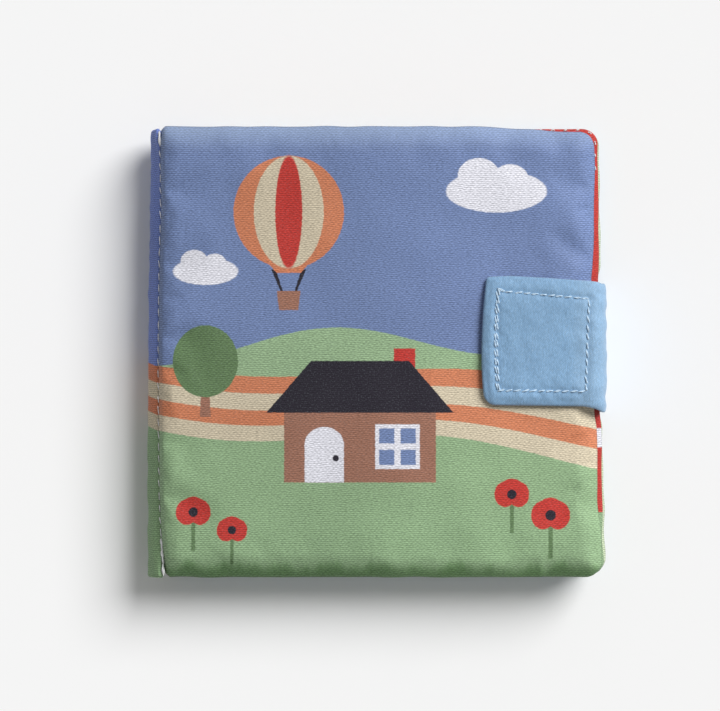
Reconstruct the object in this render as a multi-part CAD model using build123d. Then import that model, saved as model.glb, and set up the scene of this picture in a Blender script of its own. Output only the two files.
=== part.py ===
"""Soft cloth puppet book, shut and lying on its back cover, with its closing tab fastened.

Millimetres, +Z up. The origin is under the middle of the book's outline, on the surface that it lies on.
+X runs from the spine to the fore edge, and +Y from the tail of the page to its head.
"""

from build123d import *
import os

# Padded panels: the two covers and the leaves
page_height = 152.0
page_width = 147.6
front_setback = 1.2
cover_thickness = 5.0
leaf_thickness = 4.8
leaf_count = 3
seam_thickness = 1.2
edge_taper = 4.5
spine_taper = 10.0
corner_radius = 6.0
nick_width = 2.0
nick_length = 7.0
# How far in from a sewn edge, and how high from the seam to the crown, the padding has come
padding_shares = ((0.0, 0.0), (0.09, 0.36), (0.28, 0.68), (0.58, 0.91), (1.0, 1.0))

# Spine: the folded strip that the binding seam holds
spine_width = 4.4
spine_drop = 2.3
spine_fold_radius = 2.1
spine_end_setback = 1.7

# Thread: each stitch is a short bar that dives into the cloth at both ends
thread_width = 0.6
thread_height = 0.45
stitch_crown_share = 0.7
binding_stitch_length = 3.0
binding_stitch_gap = 1.1
binding_stitch_inset = 3.5
binding_end_margin = 5.0
fine_stitch_length = 2.6
fine_stitch_gap = 0.85
fine_stitch_inset = 1.0

# Closing tab and its hook and loop patches
tab_width = 44.0
tab_thickness = 1.4
tab_reach = 39.8
tab_offset = 2.2
tab_clearance = 0.5
tab_root_radius = 1.0
tab_fold_radius = 3.0
tab_corner_radius = 4.0
hook_thickness = 0.9
loop_thickness = 0.9
patch_length = 33.5
patch_width = 36.0
patch_corner_radius = 2.0
patch_fore_margin = 4.6

# Finger puppet in its pocket, sunk into the padding of the first leaf
pocket_length = 68.0
pocket_height = 52.0
pocket_thickness = 0.9
pocket_corner_radius = 3.0
pocket_centre_x = 75.0
pocket_centre_y = -20.0
puppet_thickness = 2.2
sleeve_width = 34.0
sleeve_length = 52.0
sleeve_end_margin = 6.0
head_radius = 18.0
ear_radius = 7.5
ear_spread = 14.5
ear_rise = 13.0
puppet_gap = 0.3

# Places that follow from the sizes above
leaf_top = cover_thickness + leaf_count * leaf_thickness
pocket_top = leaf_top - thread_height
puppet_top = pocket_top - pocket_thickness
book_thickness = leaf_top + cover_thickness
back_axis_z = cover_thickness / 2
front_axis_z = book_thickness - cover_thickness / 2
total_length = spine_width + page_width + tab_clearance + tab_thickness
hinge_x = spine_width - total_length / 2
fore_x = hinge_x + page_width
patch_centre_x = fore_x - patch_fore_margin - patch_length / 2
tab_under = book_thickness + loop_thickness + hook_thickness
tab_top = tab_under + tab_thickness


def panel_outline(width, share):
    """Outline of a padded panel, drawn in from its sewn edge by a share of the taper."""
    inset = edge_taper * share
    left = spine_taper * share
    right = width - inset
    head = page_height / 2 - inset
    nick_top = head - nick_length
    nick_right = left + nick_width
    points = [
        (left, -nick_top),
        (left, nick_top),
        (nick_right, head),
        (right, head),
        (right, -head),
        (nick_right, -head),
    ]
    outline = make_face(Polyline(*points, close=True))
    fore_corners = outline.vertices().sort_by(Axis.X)[-2:]
    return fillet(fore_corners, corner_radius)


def padded_panel(width, thickness, bottom):
    """One padded panel, sewn all round: a thin seam band with the padding rising from it on both faces."""
    rise = (thickness - seam_thickness) / 2
    middle = Plane.XY.offset(bottom + thickness / 2)
    half_seam = seam_thickness / 2
    sections = [
        middle * Pos(0, 0, half_seam + rise * height_share) * panel_outline(width, inset_share)
        for inset_share, height_share in padding_shares
    ]
    upper = loft(sections, ruled=True)
    lower = mirror(upper, about=middle)
    band = extrude(middle * panel_outline(width, 0), amount=half_seam, both=True)
    return Pos(hinge_x, 0, 0) * (band + upper + lower)


def front_cover():
    """The front cover, drawn back a little from the fore edge by the tab."""
    return padded_panel(page_width - front_setback, cover_thickness, leaf_top)


def back_cover():
    """The back cover, which the book lies on."""
    return padded_panel(page_width, cover_thickness, 0)


def puppet_outline(grow):
    """Outline of the flattened finger puppet: a sleeve, a round head and two ears, grown all round."""
    sleeve_foot = pocket_centre_y - pocket_height / 2 + sleeve_end_margin
    head_y = sleeve_foot + sleeve_length
    sleeve_size = (sleeve_width + 2 * grow, sleeve_length + 2 * grow)
    outline = Pos(0, sleeve_foot + sleeve_length / 2) * Rectangle(*sleeve_size)
    outline += Pos(0, head_y) * Circle(head_radius + grow)
    for side in (-1, 1):
        outline += Pos(side * ear_spread, head_y + ear_rise) * Circle(ear_radius + grow)
    return Pos(hinge_x + pocket_centre_x, 0) * outline


def pocket_outline(grow):
    """Outline of the pocket patch, grown all round."""
    patch = RectangleRounded(pocket_length + 2 * grow, pocket_height + 2 * grow, pocket_corner_radius + grow)
    return Pos(hinge_x + pocket_centre_x, pocket_centre_y) * patch


def inner_pages():
    """The leaves, lying on each other as one solid; the puppet presses a hollow into the first."""
    pages = padded_panel(page_width, leaf_thickness, cover_thickness)
    for leaf in range(1, leaf_count):
        pages += padded_panel(page_width, leaf_thickness, cover_thickness + leaf * leaf_thickness)
    surface = Pos(0, 0, leaf_top)
    pages -= extrude(surface * pocket_outline(puppet_gap), amount=puppet_top - leaf_top)
    pages -= extrude(surface * puppet_outline(puppet_gap), amount=puppet_top - puppet_thickness - leaf_top)
    return pages


def puppet_pocket():
    """The pocket patch, sunk into the first leaf and lying over the puppet's sleeve."""
    return extrude(Pos(0, 0, puppet_top) * pocket_outline(0), amount=pocket_thickness)


def finger_puppet():
    """The finger puppet, pressed flat in its pocket."""
    return extrude(Pos(0, 0, puppet_top) * puppet_outline(0), amount=-puppet_thickness)


def spine_fold():
    """The folded strip at the spine, rounded where the cloth turns from cover to cover."""
    bottom = back_axis_z + spine_drop
    height = front_axis_z - spine_drop - bottom
    length = page_height - 2 * spine_end_setback
    behind_hinge = (Align.MAX, Align.CENTER, Align.MIN)
    strip = Pos(hinge_x, 0, bottom) * Box(spine_width, length, height, align=behind_hinge)
    folds = strip.edges().filter_by(Axis.Y).group_by(Axis.X)[0]
    return fillet(folds, spine_fold_radius)


def stitch(length):
    """One stitch along +X, standing at z 0: a bar that slopes down into the cloth at both ends."""
    half = length / 2
    crown = half * stitch_crown_share
    points = [(-half, 0), (half, 0), (crown, thread_height), (-crown, thread_height)]
    side = make_face(Polyline(*points, close=True))
    return extrude(Plane.XZ * side, amount=thread_width / 2, both=True)


def seam(start, end, length, gap):
    """Stitches of one length, spaced evenly along the straight line between two points."""
    run = end - start
    count = max(1, int((run.length + gap) // (length + gap)))
    turn = Rot(0, 0, Vector(1, 0, 0).get_signed_angle(run))
    places = [start + run * ((index + 1 / 2) / count) for index in range(count)]
    return [Location(place) * turn * stitch(length) for place in places]


def box_seam(corners, bottom, corner_gap):
    """Fine stitches along the lines that join corners in turn, each line stopping short of its corners."""
    bars = []
    for first, last in zip(corners, corners[1:]):
        start, end = Vector(*first, bottom), Vector(*last, bottom)
        step = (end - start).normalized() * corner_gap
        bars += seam(start + step, end - step, fine_stitch_length, fine_stitch_gap)
    return bars


def spine_stitching():
    """The binding seam's thread, on the front and the back of the spine strip."""
    x = hinge_x - spine_width + binding_stitch_inset
    reach = page_height / 2 - binding_end_margin
    top_z = front_axis_z - spine_drop
    tail, head = Vector(x, -reach, top_z), Vector(x, reach, top_z)
    top_row = seam(tail, head, binding_stitch_length, binding_stitch_gap)
    middle = Plane.XY.offset((front_axis_z + back_axis_z) / 2)
    return Compound(top_row + [mirror(bar, about=middle) for bar in top_row])


def closing_tab():
    """The tab: sewn to the back cover's fore edge, up past the leaves and over onto the front cover."""
    root_under = back_axis_z - tab_thickness / 2
    outer_x = fore_x + tab_clearance + tab_thickness
    points = [(fore_x, root_under), (outer_x, root_under), (outer_x, tab_top), (fore_x - tab_reach, tab_top)]
    outer_face = FilletPolyline(*points, radius=[tab_root_radius, tab_fold_radius])
    section = make_face(offset(outer_face, amount=tab_thickness, side=Side.LEFT))
    strip = Pos(0, tab_offset, 0) * extrude(Plane.XZ * section, amount=tab_width / 2, both=True)
    free_corners = strip.edges().filter_by(Axis.Z).group_by(Axis.X)[0]
    return fillet(free_corners, tab_corner_radius)


def fastener_patch(bottom, thickness):
    """One square of hook or loop tape between the tab and the front cover."""
    outline = RectangleRounded(patch_length, patch_width, patch_corner_radius)
    return extrude(Pos(patch_centre_x, tab_offset, bottom) * outline, amount=thickness)


def tab_stitching():
    """The box of thread that holds the hook patch under the tab, its free side sewn twice."""
    left = patch_centre_x - patch_length / 2 + fine_stitch_inset
    right = patch_centre_x + patch_length / 2 - fine_stitch_inset
    tail = tab_offset - patch_width / 2 + fine_stitch_inset
    head = tab_offset + patch_width / 2 - fine_stitch_inset
    corners = [(left, tail), (right, tail), (right, head), (left, head)]
    bars = box_seam(corners + corners[:1], tab_top, patch_corner_radius)
    second = left + fine_stitch_gap + thread_width
    return Compound(bars + box_seam([(second, tail), (second, head)], tab_top, patch_corner_radius))


def pocket_stitching():
    """The thread along the pocket's two sides and foot; its head is left open."""
    left = hinge_x + pocket_centre_x - pocket_length / 2 + fine_stitch_inset
    right = hinge_x + pocket_centre_x + pocket_length / 2 - fine_stitch_inset
    tail = pocket_centre_y - pocket_height / 2 + fine_stitch_inset
    head = pocket_centre_y + pocket_height / 2 - fine_stitch_inset
    corners = [(left, head), (left, tail), (right, tail), (right, head)]
    return Compound(box_seam(corners, pocket_top, pocket_corner_radius))


nodes = {
    "front_cover": front_cover(),
    "back_cover": back_cover(),
    "inner_pages": inner_pages(),
    "spine_fold": spine_fold(),
    "spine_stitching": spine_stitching(),
    "closing_tab": closing_tab(),
    "tab_hook_patch": fastener_patch(book_thickness + loop_thickness, hook_thickness),
    "cover_loop_patch": fastener_patch(book_thickness, loop_thickness),
    "tab_stitching": tab_stitching(),
    "puppet_pocket": puppet_pocket(),
    "pocket_stitching": pocket_stitching(),
    "finger_puppet": finger_puppet(),
}

os.makedirs("parts", exist_ok=True)
for name, shape in nodes.items():
    export_step(shape, f"parts/{name}.step")
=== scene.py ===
"""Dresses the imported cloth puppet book: padded printed panels, sewn spine, closing tab, pocket and puppet.

Everything is in metres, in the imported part's own frame: +X to the fore edge, +Y to the head, +Z up.
"""
import logging
import math
from abc import ABC, abstractmethod
from dataclasses import dataclass, field
from enum import Enum
from typing import Callable, Optional, Sequence, Union

import bpy
import numpy as np
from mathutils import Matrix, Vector


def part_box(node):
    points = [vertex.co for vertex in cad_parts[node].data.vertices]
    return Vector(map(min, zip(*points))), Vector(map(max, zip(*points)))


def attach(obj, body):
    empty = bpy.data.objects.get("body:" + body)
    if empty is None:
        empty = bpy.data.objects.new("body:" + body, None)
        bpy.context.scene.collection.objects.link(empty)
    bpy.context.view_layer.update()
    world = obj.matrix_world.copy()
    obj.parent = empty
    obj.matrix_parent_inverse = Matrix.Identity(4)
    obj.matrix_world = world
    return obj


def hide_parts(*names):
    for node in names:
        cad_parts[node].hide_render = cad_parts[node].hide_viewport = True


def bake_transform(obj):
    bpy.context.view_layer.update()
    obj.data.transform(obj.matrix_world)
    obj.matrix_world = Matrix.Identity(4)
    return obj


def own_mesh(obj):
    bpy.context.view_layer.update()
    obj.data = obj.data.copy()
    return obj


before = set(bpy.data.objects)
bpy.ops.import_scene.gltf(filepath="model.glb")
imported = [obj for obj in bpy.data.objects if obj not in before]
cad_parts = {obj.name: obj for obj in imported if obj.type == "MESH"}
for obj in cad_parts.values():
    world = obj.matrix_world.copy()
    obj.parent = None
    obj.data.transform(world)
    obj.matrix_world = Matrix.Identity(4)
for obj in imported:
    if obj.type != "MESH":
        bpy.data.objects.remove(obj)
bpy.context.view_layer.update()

MM = 0.001
LOG = logging.getLogger("puppet_book")
Array = np.ndarray
Colour = tuple[float, float, float, float]
Corner = Sequence[float]
Line = tuple[Array, Array]
Socket = Union[bpy.types.NodeSocket, float]

# Spreads of a bell curve that a running mean counts
BELL_SPREADS = 2.5
# Lengths of the shortest and the longest wave, as shares of the middle one
WAVE_SHARES = (0.6, 1.6)


def smooth(value: Array, low: float, high: float) -> Array:
    """Share eased from 0 at low to 1 at high."""
    t = np.clip((np.asarray(value) - low) / (high - low), 0, 1)
    return t * t * (3 - 2 * t)


def crown(distance: Array, taper: float) -> Array:
    """Height share of a rim at a distance from its edge, rising in a quarter round over the taper."""
    s = np.clip(distance / taper, 0, 1)
    return np.sqrt(1 - (1 - s) ** 2)


def padding(distance: Array, taper: Union[float, Array], power: float) -> Array:
    """Height share of wadding at a distance from its sewn edge, rolling over slowly across the taper."""
    return 1 - (1 - np.clip(distance / taper, 0, 1)) ** power


def bell(distance: Array, reach: float) -> Array:
    """Bell curve: 1 at no distance, and about a third at the reach."""
    return np.exp(-((distance / reach) ** 2))


def blur(values: Array, spread: float, axis: int) -> Array:
    """Running mean of values along one axis, weighted by a bell curve.

    Args:
        values: Numbers in rows and columns.
        spread: Width of the bell curve, in samples.
        axis: Axis to smooth along.

    Returns:
        The smoothed numbers.
    """
    cut = round(BELL_SPREADS * spread)
    weights = np.exp(-0.5 * (np.arange(-cut, cut + 1) / spread) ** 2)
    total = np.convolve(np.ones(values.shape[axis]), weights, "same")
    return np.apply_along_axis(lambda line: np.convolve(line, weights, "same") / total, axis, values)


def swell(x: Array, y: Array, seed: int, wavelength: float, count: int = 14) -> Array:
    """Soft uneven waves over a plane, made of sine waves in seeded directions.

    Args:
        x: Places along X.
        y: Places along Y.
        seed: Seed of the waves.
        wavelength: Middle length of a wave.
        count: How many waves are added.

    Returns:
        Heights that mostly lie between -1 and 1.
    """
    rng = np.random.default_rng(seed)
    total = np.zeros_like(x)
    for _ in range(count):
        turn, phase = rng.uniform(0, 2 * math.pi, 2)
        number = 2 * math.pi / (wavelength * rng.uniform(*WAVE_SHARES))
        total += np.sin((x * math.cos(turn) + y * math.sin(turn)) * number + phase)
    return total / math.sqrt(count)


@dataclass(frozen=True)
class Ripple:
    """Soft uneven waves of one height and middle length."""

    height: float
    wavelength: float
    seed: int

    def at(self, x: Array, y: Array, seed: int = 0) -> Array:
        """Height of the waves at each place; the seed is added to their own."""
        return self.height * swell(x, y, self.seed + seed, self.wavelength)


def stations(length: float, margin: float, fine: float, coarse: float) -> Array:
    """Shares along a side, close together in a margin at both ends and wider apart between them.

    Args:
        length: Length of the side.
        margin: Width of each close-spaced margin.
        fine: Spacing in the margins.
        coarse: Spacing between them.

    Returns:
        Rising shares from 0 to 1.
    """
    in_margin = max(2, round(margin / fine))
    between = max(2, round((length - 2 * margin) / coarse))
    start = np.linspace(0, margin, in_margin, endpoint=False)
    middle = np.linspace(margin, length - margin, between, endpoint=False)
    end = np.linspace(length - margin, length, in_margin + 1)
    return np.concatenate([start, middle, end]) / length


def inside_box(x: Array, y: Array, low: Corner, high: Corner) -> Array:
    """Distance inside the nearest side of a box in XY, negative outside it."""
    across = np.minimum(x - low[0], high[0] - x)
    return np.minimum(across, np.minimum(y - low[1], high[1] - y))


def rounded(first: Array, second: Array, radius: float) -> tuple[Array, Array]:
    """Round one corner.

    Args:
        first: Distance from one edge.
        second: Distance from the edge that meets it.
        radius: The corner's radius.

    Returns:
        The two distances, with the corner drawn in to a quarter circle.
    """
    s = np.clip(1 - first / radius, 0, 1)
    t = np.clip(1 - second / radius, 0, 1)
    inside = (s > 0) & (t > 0)
    moved_first = radius * (1 - s * np.sqrt(1 - t**2 / 2))
    moved_second = radius * (1 - t * np.sqrt(1 - s**2 / 2))
    return np.where(inside, moved_first, first), np.where(inside, moved_second, second)


def rounded_box(
    across: Array, along: Array, low: Corner, high: Corner, radius: float
) -> tuple[Array, Array, Array]:
    """Spread points over a box in XY that has round corners.

    Args:
        across: Shares along X.
        along: Shares along Y.
        low: The box's low corner.
        high: The box's high corner.
        radius: Radius of its corners.

    Returns:
        X and Y of each point, and its distance from the nearest side.
    """
    u, v = np.meshgrid(across, along)
    to_side = (high[0] - low[0]) * np.minimum(u, 1 - u)
    to_end = (high[1] - low[1]) * np.minimum(v, 1 - v)
    side, end = rounded(to_side, to_end, radius)
    x = np.where(u < 0.5, low[0] + side, high[0] - side)
    y = np.where(v < 0.5, low[1] + end, high[1] - end)
    return x, y, np.minimum(side, end)


def rim_mask(rows: int, columns: int) -> Array:
    """True for the outermost points of a grid."""
    return np.pad(np.zeros((rows - 2, columns - 2), bool), 1, constant_values=True)


def upright(count: int, up: float = 1.0) -> Array:
    """Normals that point straight up, or straight down where up is -1."""
    return np.tile([0.0, 0.0, up], (count, 1))


class Ink(Enum):
    """Colours of the cloth and its print, as sRGB bytes."""

    SKY = (109, 127, 168)
    # Sky of the spine strip, painted as a more saturated blue for the shade that the strip lies in.
    SHADED_SKY = (114, 132, 192)
    HILL = (144, 171, 133)
    MEADOW = (138, 166, 127)
    PALE_GREEN = (188, 202, 170)
    LEAF_GREEN = (96, 122, 84)
    ORANGE = (196, 122, 88)
    CREAM = (198, 186, 162)
    BROWN = (150, 106, 88)
    CHARCOAL = (38, 34, 44)
    WHITE = (216, 216, 224)
    BARE = (202, 220, 228)
    RED = (184, 56, 49)
    TAB_BLUE = (131, 169, 204)
    THREAD = (238, 238, 240)
    TAB_THREAD = (204, 230, 251)
    TAPE = (214, 217, 222)
    PLUSH = (140, 98, 74)
    MUZZLE = (206, 184, 156)

    @property
    def linear(self) -> Colour:
        """The colour as linear light, with alpha."""
        shares = (byte / 255 for byte in self.value)
        light = [s / 12.92 if s <= 0.04045 else ((s + 0.055) / 1.055) ** 2.4 for s in shares]
        return (*light, 1.0)

    def shade(self, gain: float, lift: float = 0.0) -> Colour:
        """The colour as linear light, made darker or lighter, with alpha."""
        return (*(min(1.0, gain * channel + lift) for channel in self.linear[:3]), 1.0)


class Bench:
    """Lays the shader nodes of one material and joins their sockets."""

    def __init__(self, name: str) -> None:
        """Start an empty node material of that name."""
        self.material = bpy.data.materials.new(name)
        self.material.use_nodes = True
        self.tree = self.material.node_tree
        self.tree.nodes.clear()

    def node(self, kind: str, **settings: object) -> bpy.types.Node:
        """Add a node and set its properties."""
        added = self.tree.nodes.new(kind)
        for name, value in settings.items():
            setattr(added, name, value)
        return added

    def feed(self, socket: bpy.types.NodeSocket, value: Socket) -> None:
        """Join a socket to another, or set its constant."""
        if isinstance(value, bpy.types.NodeSocket):
            self.tree.links.new(value, socket)
        else:
            socket.default_value = value

    def math(self, operation: str, *values: Socket, clamp: bool = False) -> Socket:
        """One math node over one, two or three values."""
        added = self.node("ShaderNodeMath", operation=operation, use_clamp=clamp)
        for socket, value in zip(added.inputs, values):
            self.feed(socket, value)
        return added.outputs[0]

    def ramp(self, value: Socket, low: float, high: float, start: float = 0.0, end: float = 1.0) -> Socket:
        """A value eased from start at low to end at high."""
        added = self.node("ShaderNodeMapRange", interpolation_type="SMOOTHSTEP")
        for socket, number in zip(added.inputs, (value, low, high, start, end)):
            self.feed(socket, number)
        return added.outputs[0]

    def vary(self, noise: Socket, start: float, end: float, reach: float = 0.2) -> Socket:
        """A noise eased from start to end, over a reach below and above its middle."""
        return self.ramp(noise, 0.5 - reach, 0.5 + reach, start, end)

    def mix(self, share: Socket, first: object, second: object) -> Socket:
        """A colour between two others."""
        added = self.node("ShaderNodeMix", data_type="RGBA")
        for socket, value in zip((added.inputs[0], added.inputs[6], added.inputs[7]), (share, first, second)):
            self.feed(socket, value)
        return added.outputs[2]

    def noise(self, place: Socket, scale: float, detail: float = 2.0) -> Socket:
        """Noise from 0 to 1, its grain about one over the scale."""
        added = self.node("ShaderNodeTexNoise")
        self.feed(added.inputs["Vector"], place)
        added.inputs["Scale"].default_value = scale
        added.inputs["Detail"].default_value = detail
        return added.outputs["Fac"]

    def place(self, x: Socket, y: Socket, z: Socket = 0.0) -> Socket:
        """A vector of three values."""
        added = self.node("ShaderNodeCombineXYZ")
        for socket, value in zip(added.inputs, (x, y, z)):
            self.feed(socket, value)
        return added.outputs[0]

    def cloth(self) -> tuple[Socket, Socket]:
        """A piece's own flat cloth coordinates, in millimetres."""
        read = self.node("ShaderNodeAttribute", attribute_name="cloth")
        split = self.node("ShaderNodeSeparateXYZ")
        self.feed(split.inputs[0], read.outputs["Vector"])
        return split.outputs[0], split.outputs[1]

    def finish(
        self, colour: Socket, roughness: Socket, height: Socket, relief: float, sheen: float,
        gloss: float = 0.5,
    ) -> bpy.types.Material:
        """Close the material with one rough shader.

        Args:
            colour: Base colour.
            roughness: Roughness.
            height: Bump height from 0 to 1.
            relief: Bump depth in metres.
            sheen: Sheen weight.
            gloss: Specular level.

        Returns:
            The finished material.
        """
        bump = self.node("ShaderNodeBump")
        bump.inputs["Strength"].default_value = 1.0
        bump.inputs["Distance"].default_value = relief
        self.feed(bump.inputs["Height"], height)
        shader = self.node("ShaderNodeBsdfPrincipled")
        self.feed(shader.inputs["Base Color"], colour)
        self.feed(shader.inputs["Roughness"], roughness)
        self.feed(shader.inputs["Normal"], bump.outputs[0])
        shader.inputs["Specular IOR Level"].default_value = gloss
        shader.inputs["Sheen Weight"].default_value = sheen
        shader.inputs["Sheen Roughness"].default_value = 0.5
        output = self.node("ShaderNodeOutputMaterial")
        self.feed(output.inputs["Surface"], shader.outputs[0])
        return self.material


@dataclass(frozen=True)
class Motif(ABC):
    """One printed shape, in millimetres on the flat cloth."""

    ink: Ink

    @abstractmethod
    def depth(self, bench: Bench, x: Socket, y: Socket) -> Socket:
        """Distance inside the shape's edge, negative outside it."""


@dataclass(frozen=True)
class Disc(Motif):
    """An ellipse."""

    x: float
    y: float
    rx: float
    ry: float

    def depth(self, bench: Bench, x: Socket, y: Socket) -> Socket:
        """Distance inside the ellipse."""
        across = bench.math("MULTIPLY_ADD", x, 1 / self.rx, -self.x / self.rx)
        along = bench.math("MULTIPLY_ADD", y, 1 / self.ry, -self.y / self.ry)
        squares = bench.math("MULTIPLY_ADD", across, across, bench.math("MULTIPLY", along, along))
        size = min(self.rx, self.ry)
        return bench.math("MULTIPLY_ADD", bench.math("SQRT", squares), -size, size)


@dataclass(frozen=True)
class Slab(Motif):
    """An upright shape with straight sides, as wide at its foot and its top as it says."""

    x: float
    foot: float
    top: float
    foot_width: float
    top_width: float

    def depth(self, bench: Bench, x: Socket, y: Socket) -> Socket:
        """Distance inside the nearest side."""
        narrowing = (self.top_width - self.foot_width) / (self.top - self.foot) / 2
        half = bench.math("MULTIPLY_ADD", y, narrowing, self.foot_width / 2 - self.foot * narrowing)
        across = bench.math("ABSOLUTE", bench.math("SUBTRACT", x, self.x))
        side = bench.math("SUBTRACT", half, across)
        above, below = bench.math("SUBTRACT", y, self.foot), bench.math("SUBTRACT", self.top, y)
        ends = bench.math("MINIMUM", above, below)
        return bench.math("MINIMUM", side, ends)


@dataclass(frozen=True)
class Hill(Motif):
    """All the cloth below one rolling line."""

    level: float
    rise: float
    wave: float
    phase: float
    slope: float = 0.0

    def depth(self, bench: Bench, x: Socket, y: Socket) -> Socket:
        """Height of the rolling line above a point."""
        roll = bench.math("SINE", bench.math("MULTIPLY_ADD", x, 2 * math.pi / self.wave, self.phase))
        line = bench.math("MULTIPLY_ADD", roll, self.rise, self.level)
        line = bench.math("MULTIPLY_ADD", x, self.slope, line)
        return bench.math("SUBTRACT", line, y)


@dataclass(frozen=True)
class Dots(Motif):
    """Round spots in a slanting grid all over the cloth."""

    pitch: float
    radius: float
    reach: float = 62.0

    def depth(self, bench: Bench, x: Socket, y: Socket) -> Socket:
        """Distance inside the nearest spot; there are none near the cloth's edges."""
        cell = 2 * self.pitch
        rising = bench.math("ROUND", bench.math("DIVIDE", bench.math("ADD", x, y), cell))
        falling = bench.math("ROUND", bench.math("DIVIDE", bench.math("SUBTRACT", x, y), cell))
        spot_x = bench.math("MULTIPLY", bench.math("ADD", rising, falling), self.pitch)
        spot_y = bench.math("MULTIPLY", bench.math("SUBTRACT", rising, falling), self.pitch)
        across, along = bench.math("SUBTRACT", x, spot_x), bench.math("SUBTRACT", y, spot_y)
        squares = bench.math("MULTIPLY_ADD", across, across, bench.math("MULTIPLY", along, along))
        spot = bench.math("SUBTRACT", self.radius, bench.math("SQRT", squares))
        far = bench.math("MAXIMUM", bench.math("ABSOLUTE", spot_x), bench.math("ABSOLUTE", spot_y))
        return bench.math("MINIMUM", spot, bench.math("SUBTRACT", self.reach, far))


@dataclass(frozen=True)
class ClothFinish:
    """Woven cotton, printed with shapes or plain.

    Threads vary in tone, are painted darker in the weave's valleys as shade, and the ink misses flecks of
    them.
    The cloth can also carry a painted highlight along one side, painted shade along another, and painted
    light across its width.
    """

    name: str
    ground: Ink
    motifs: tuple[Motif, ...] = ()
    rib: float = 0.673
    warp: float = 0.72
    weave_shade: float = 0.64
    streak: float = 0.17
    fleck: float = 0.09
    relief: float = 0.03 * MM
    sheen: float = 0.02
    bleed: float = 0.20
    painted_highlight: float = 0.0
    painted_highlight_from: float = 0.0
    painted_highlight_to: float = 1.0
    painted_shade: float = 0.0
    painted_shade_from: float = 0.0
    painted_shade_to: float = 1.0
    painted_shade_ragged: float = 0.0
    blotch_and_painted_light: float = 0.0
    painted_light_from: float = 0.0
    painted_light_to: float = 1.0

    def weave(self, bench: Bench, x: Socket, y: Socket) -> Socket:
        """Height of a ribbed weave: each rib rises over one warp thread and dips under the next."""
        warp = bench.math("SINE", bench.math("MULTIPLY", x, math.pi / self.warp))
        weft = bench.math("SINE", bench.math("MULTIPLY", y, math.pi / self.rib))
        over = bench.ramp(bench.math("MULTIPLY", warp, weft), -0.3, 0.3, 0.66, 1.0)
        return bench.math("MULTIPLY", bench.math("ABSOLUTE", weft), over)

    def material(self) -> bpy.types.Material:
        """Build the node material.

        Returns:
            The cloth's material.
        """
        bench = Bench(self.name)
        x, y = bench.cloth()
        place = bench.place(x, y)
        slub = bench.noise(bench.place(bench.math("MULTIPLY", x, 0.45), y), 1.5, 3.0)
        stray = bench.noise(place, 0.9, 1.0)
        ink_x = bench.math("MULTIPLY_ADD", stray, 0.5, bench.math("SUBTRACT", x, 0.25))
        ink_y = bench.math("MULTIPLY_ADD", slub, 0.5, bench.math("SUBTRACT", y, 0.25))
        colour: object = self.ground.linear
        for motif in self.motifs:
            mask = bench.ramp(motif.depth(bench, ink_x, ink_y), -self.bleed, self.bleed)
            colour = bench.mix(mask, colour, motif.ink.linear)
        # Painted shade: along one edge a gamma deepens the colour, standing in for the shade where the cloth
        # rolls down; its line wanders a little.
        if self.painted_shade:
            painted_shade_node = bench.node("ShaderNodeGamma")
            bench.feed(painted_shade_node.inputs["Color"], colour)
            ragged = bench.noise(bench.place(bench.math("MULTIPLY", x, 0.12), 5.3), 1.0, 3.0)
            line = bench.math("SUBTRACT", y, self.painted_shade_ragged / 2)
            line = bench.math("MULTIPLY_ADD", ragged, self.painted_shade_ragged, line)
            gamma = bench.ramp(line, self.painted_shade_from, self.painted_shade_to, 1.0, 1.0 + self.painted_shade)
            bench.feed(painted_shade_node.inputs["Gamma"], gamma)
            colour = painted_shade_node.outputs[0]
        wander = bench.math("MULTIPLY_ADD", bench.noise(place, 0.30, 3.0), 1.0, y)
        height = self.weave(bench, x, wander)
        # Broad blotches of tone that differ at random; painted light across the width may be multiplied in
        # below.
        blotch_and_painted_light = bench.ramp(bench.noise(place, 0.03, 2.0), 0.3, 0.7, 0.95, 1.05)
        # Painted shade: each thread is darker in the weave's valleys and lighter on its crests, standing in
        # for the shade between ribs; the slub adds tone that differs at random.
        thread = bench.math("MULTIPLY_ADD", height, self.weave_shade, bench.ramp(slub, 0.3, 0.7, 0.88, 1.04))
        strand = bench.place(bench.math("MULTIPLY", x, 0.9), bench.math("MULTIPLY", y, 2.4))
        streak = bench.ramp(bench.noise(strand, 1.3, 2.0), 0.3, 0.7, -self.streak, self.streak)
        thread = bench.math("ADD", thread, bench.math("SUBTRACT", streak, 0.53 * self.weave_shade))
        # Painted light: the cloth is made lighter across its width, standing in for light that is stronger on
        # one side.
        if self.blotch_and_painted_light:
            lighter = bench.ramp(x, self.painted_light_from, self.painted_light_to, 1.0, 1.0 + self.blotch_and_painted_light)
            blotch_and_painted_light = bench.math("MULTIPLY", blotch_and_painted_light, lighter)
        shade = bench.math("MULTIPLY", blotch_and_painted_light, thread)
        tone = bench.node("ShaderNodeMix", data_type="RGBA", blend_type="MULTIPLY")
        tone.inputs[0].default_value = 1.0
        bench.feed(tone.inputs[6], colour)
        bench.feed(tone.inputs[7], bench.place(shade, shade, shade))
        # Flecks of bare thread that the ink misses.
        flecks_and_painted_highlight = bench.ramp(bench.noise(place, 2.1, 2.0), 0.52, 0.78, 0.0, self.fleck)
        # Painted highlight: along one side the colour is mixed towards pale bare thread, standing in for
        # light on a side that faces the lamp.
        if self.painted_highlight:
            flecks_and_painted_highlight = bench.math("ADD", flecks_and_painted_highlight, bench.ramp(y, self.painted_highlight_from, self.painted_highlight_to, 0.0, self.painted_highlight))
        colour = bench.mix(flecks_and_painted_highlight, tone.outputs[2], Ink.BARE.linear)
        relief = bench.math("MULTIPLY_ADD", slub, 0.6, height)
        roughness = bench.ramp(height, 0.0, 1.0, 0.72, 0.52)
        return bench.finish(colour, roughness, relief, self.relief, self.sheen, 0.2)


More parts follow.
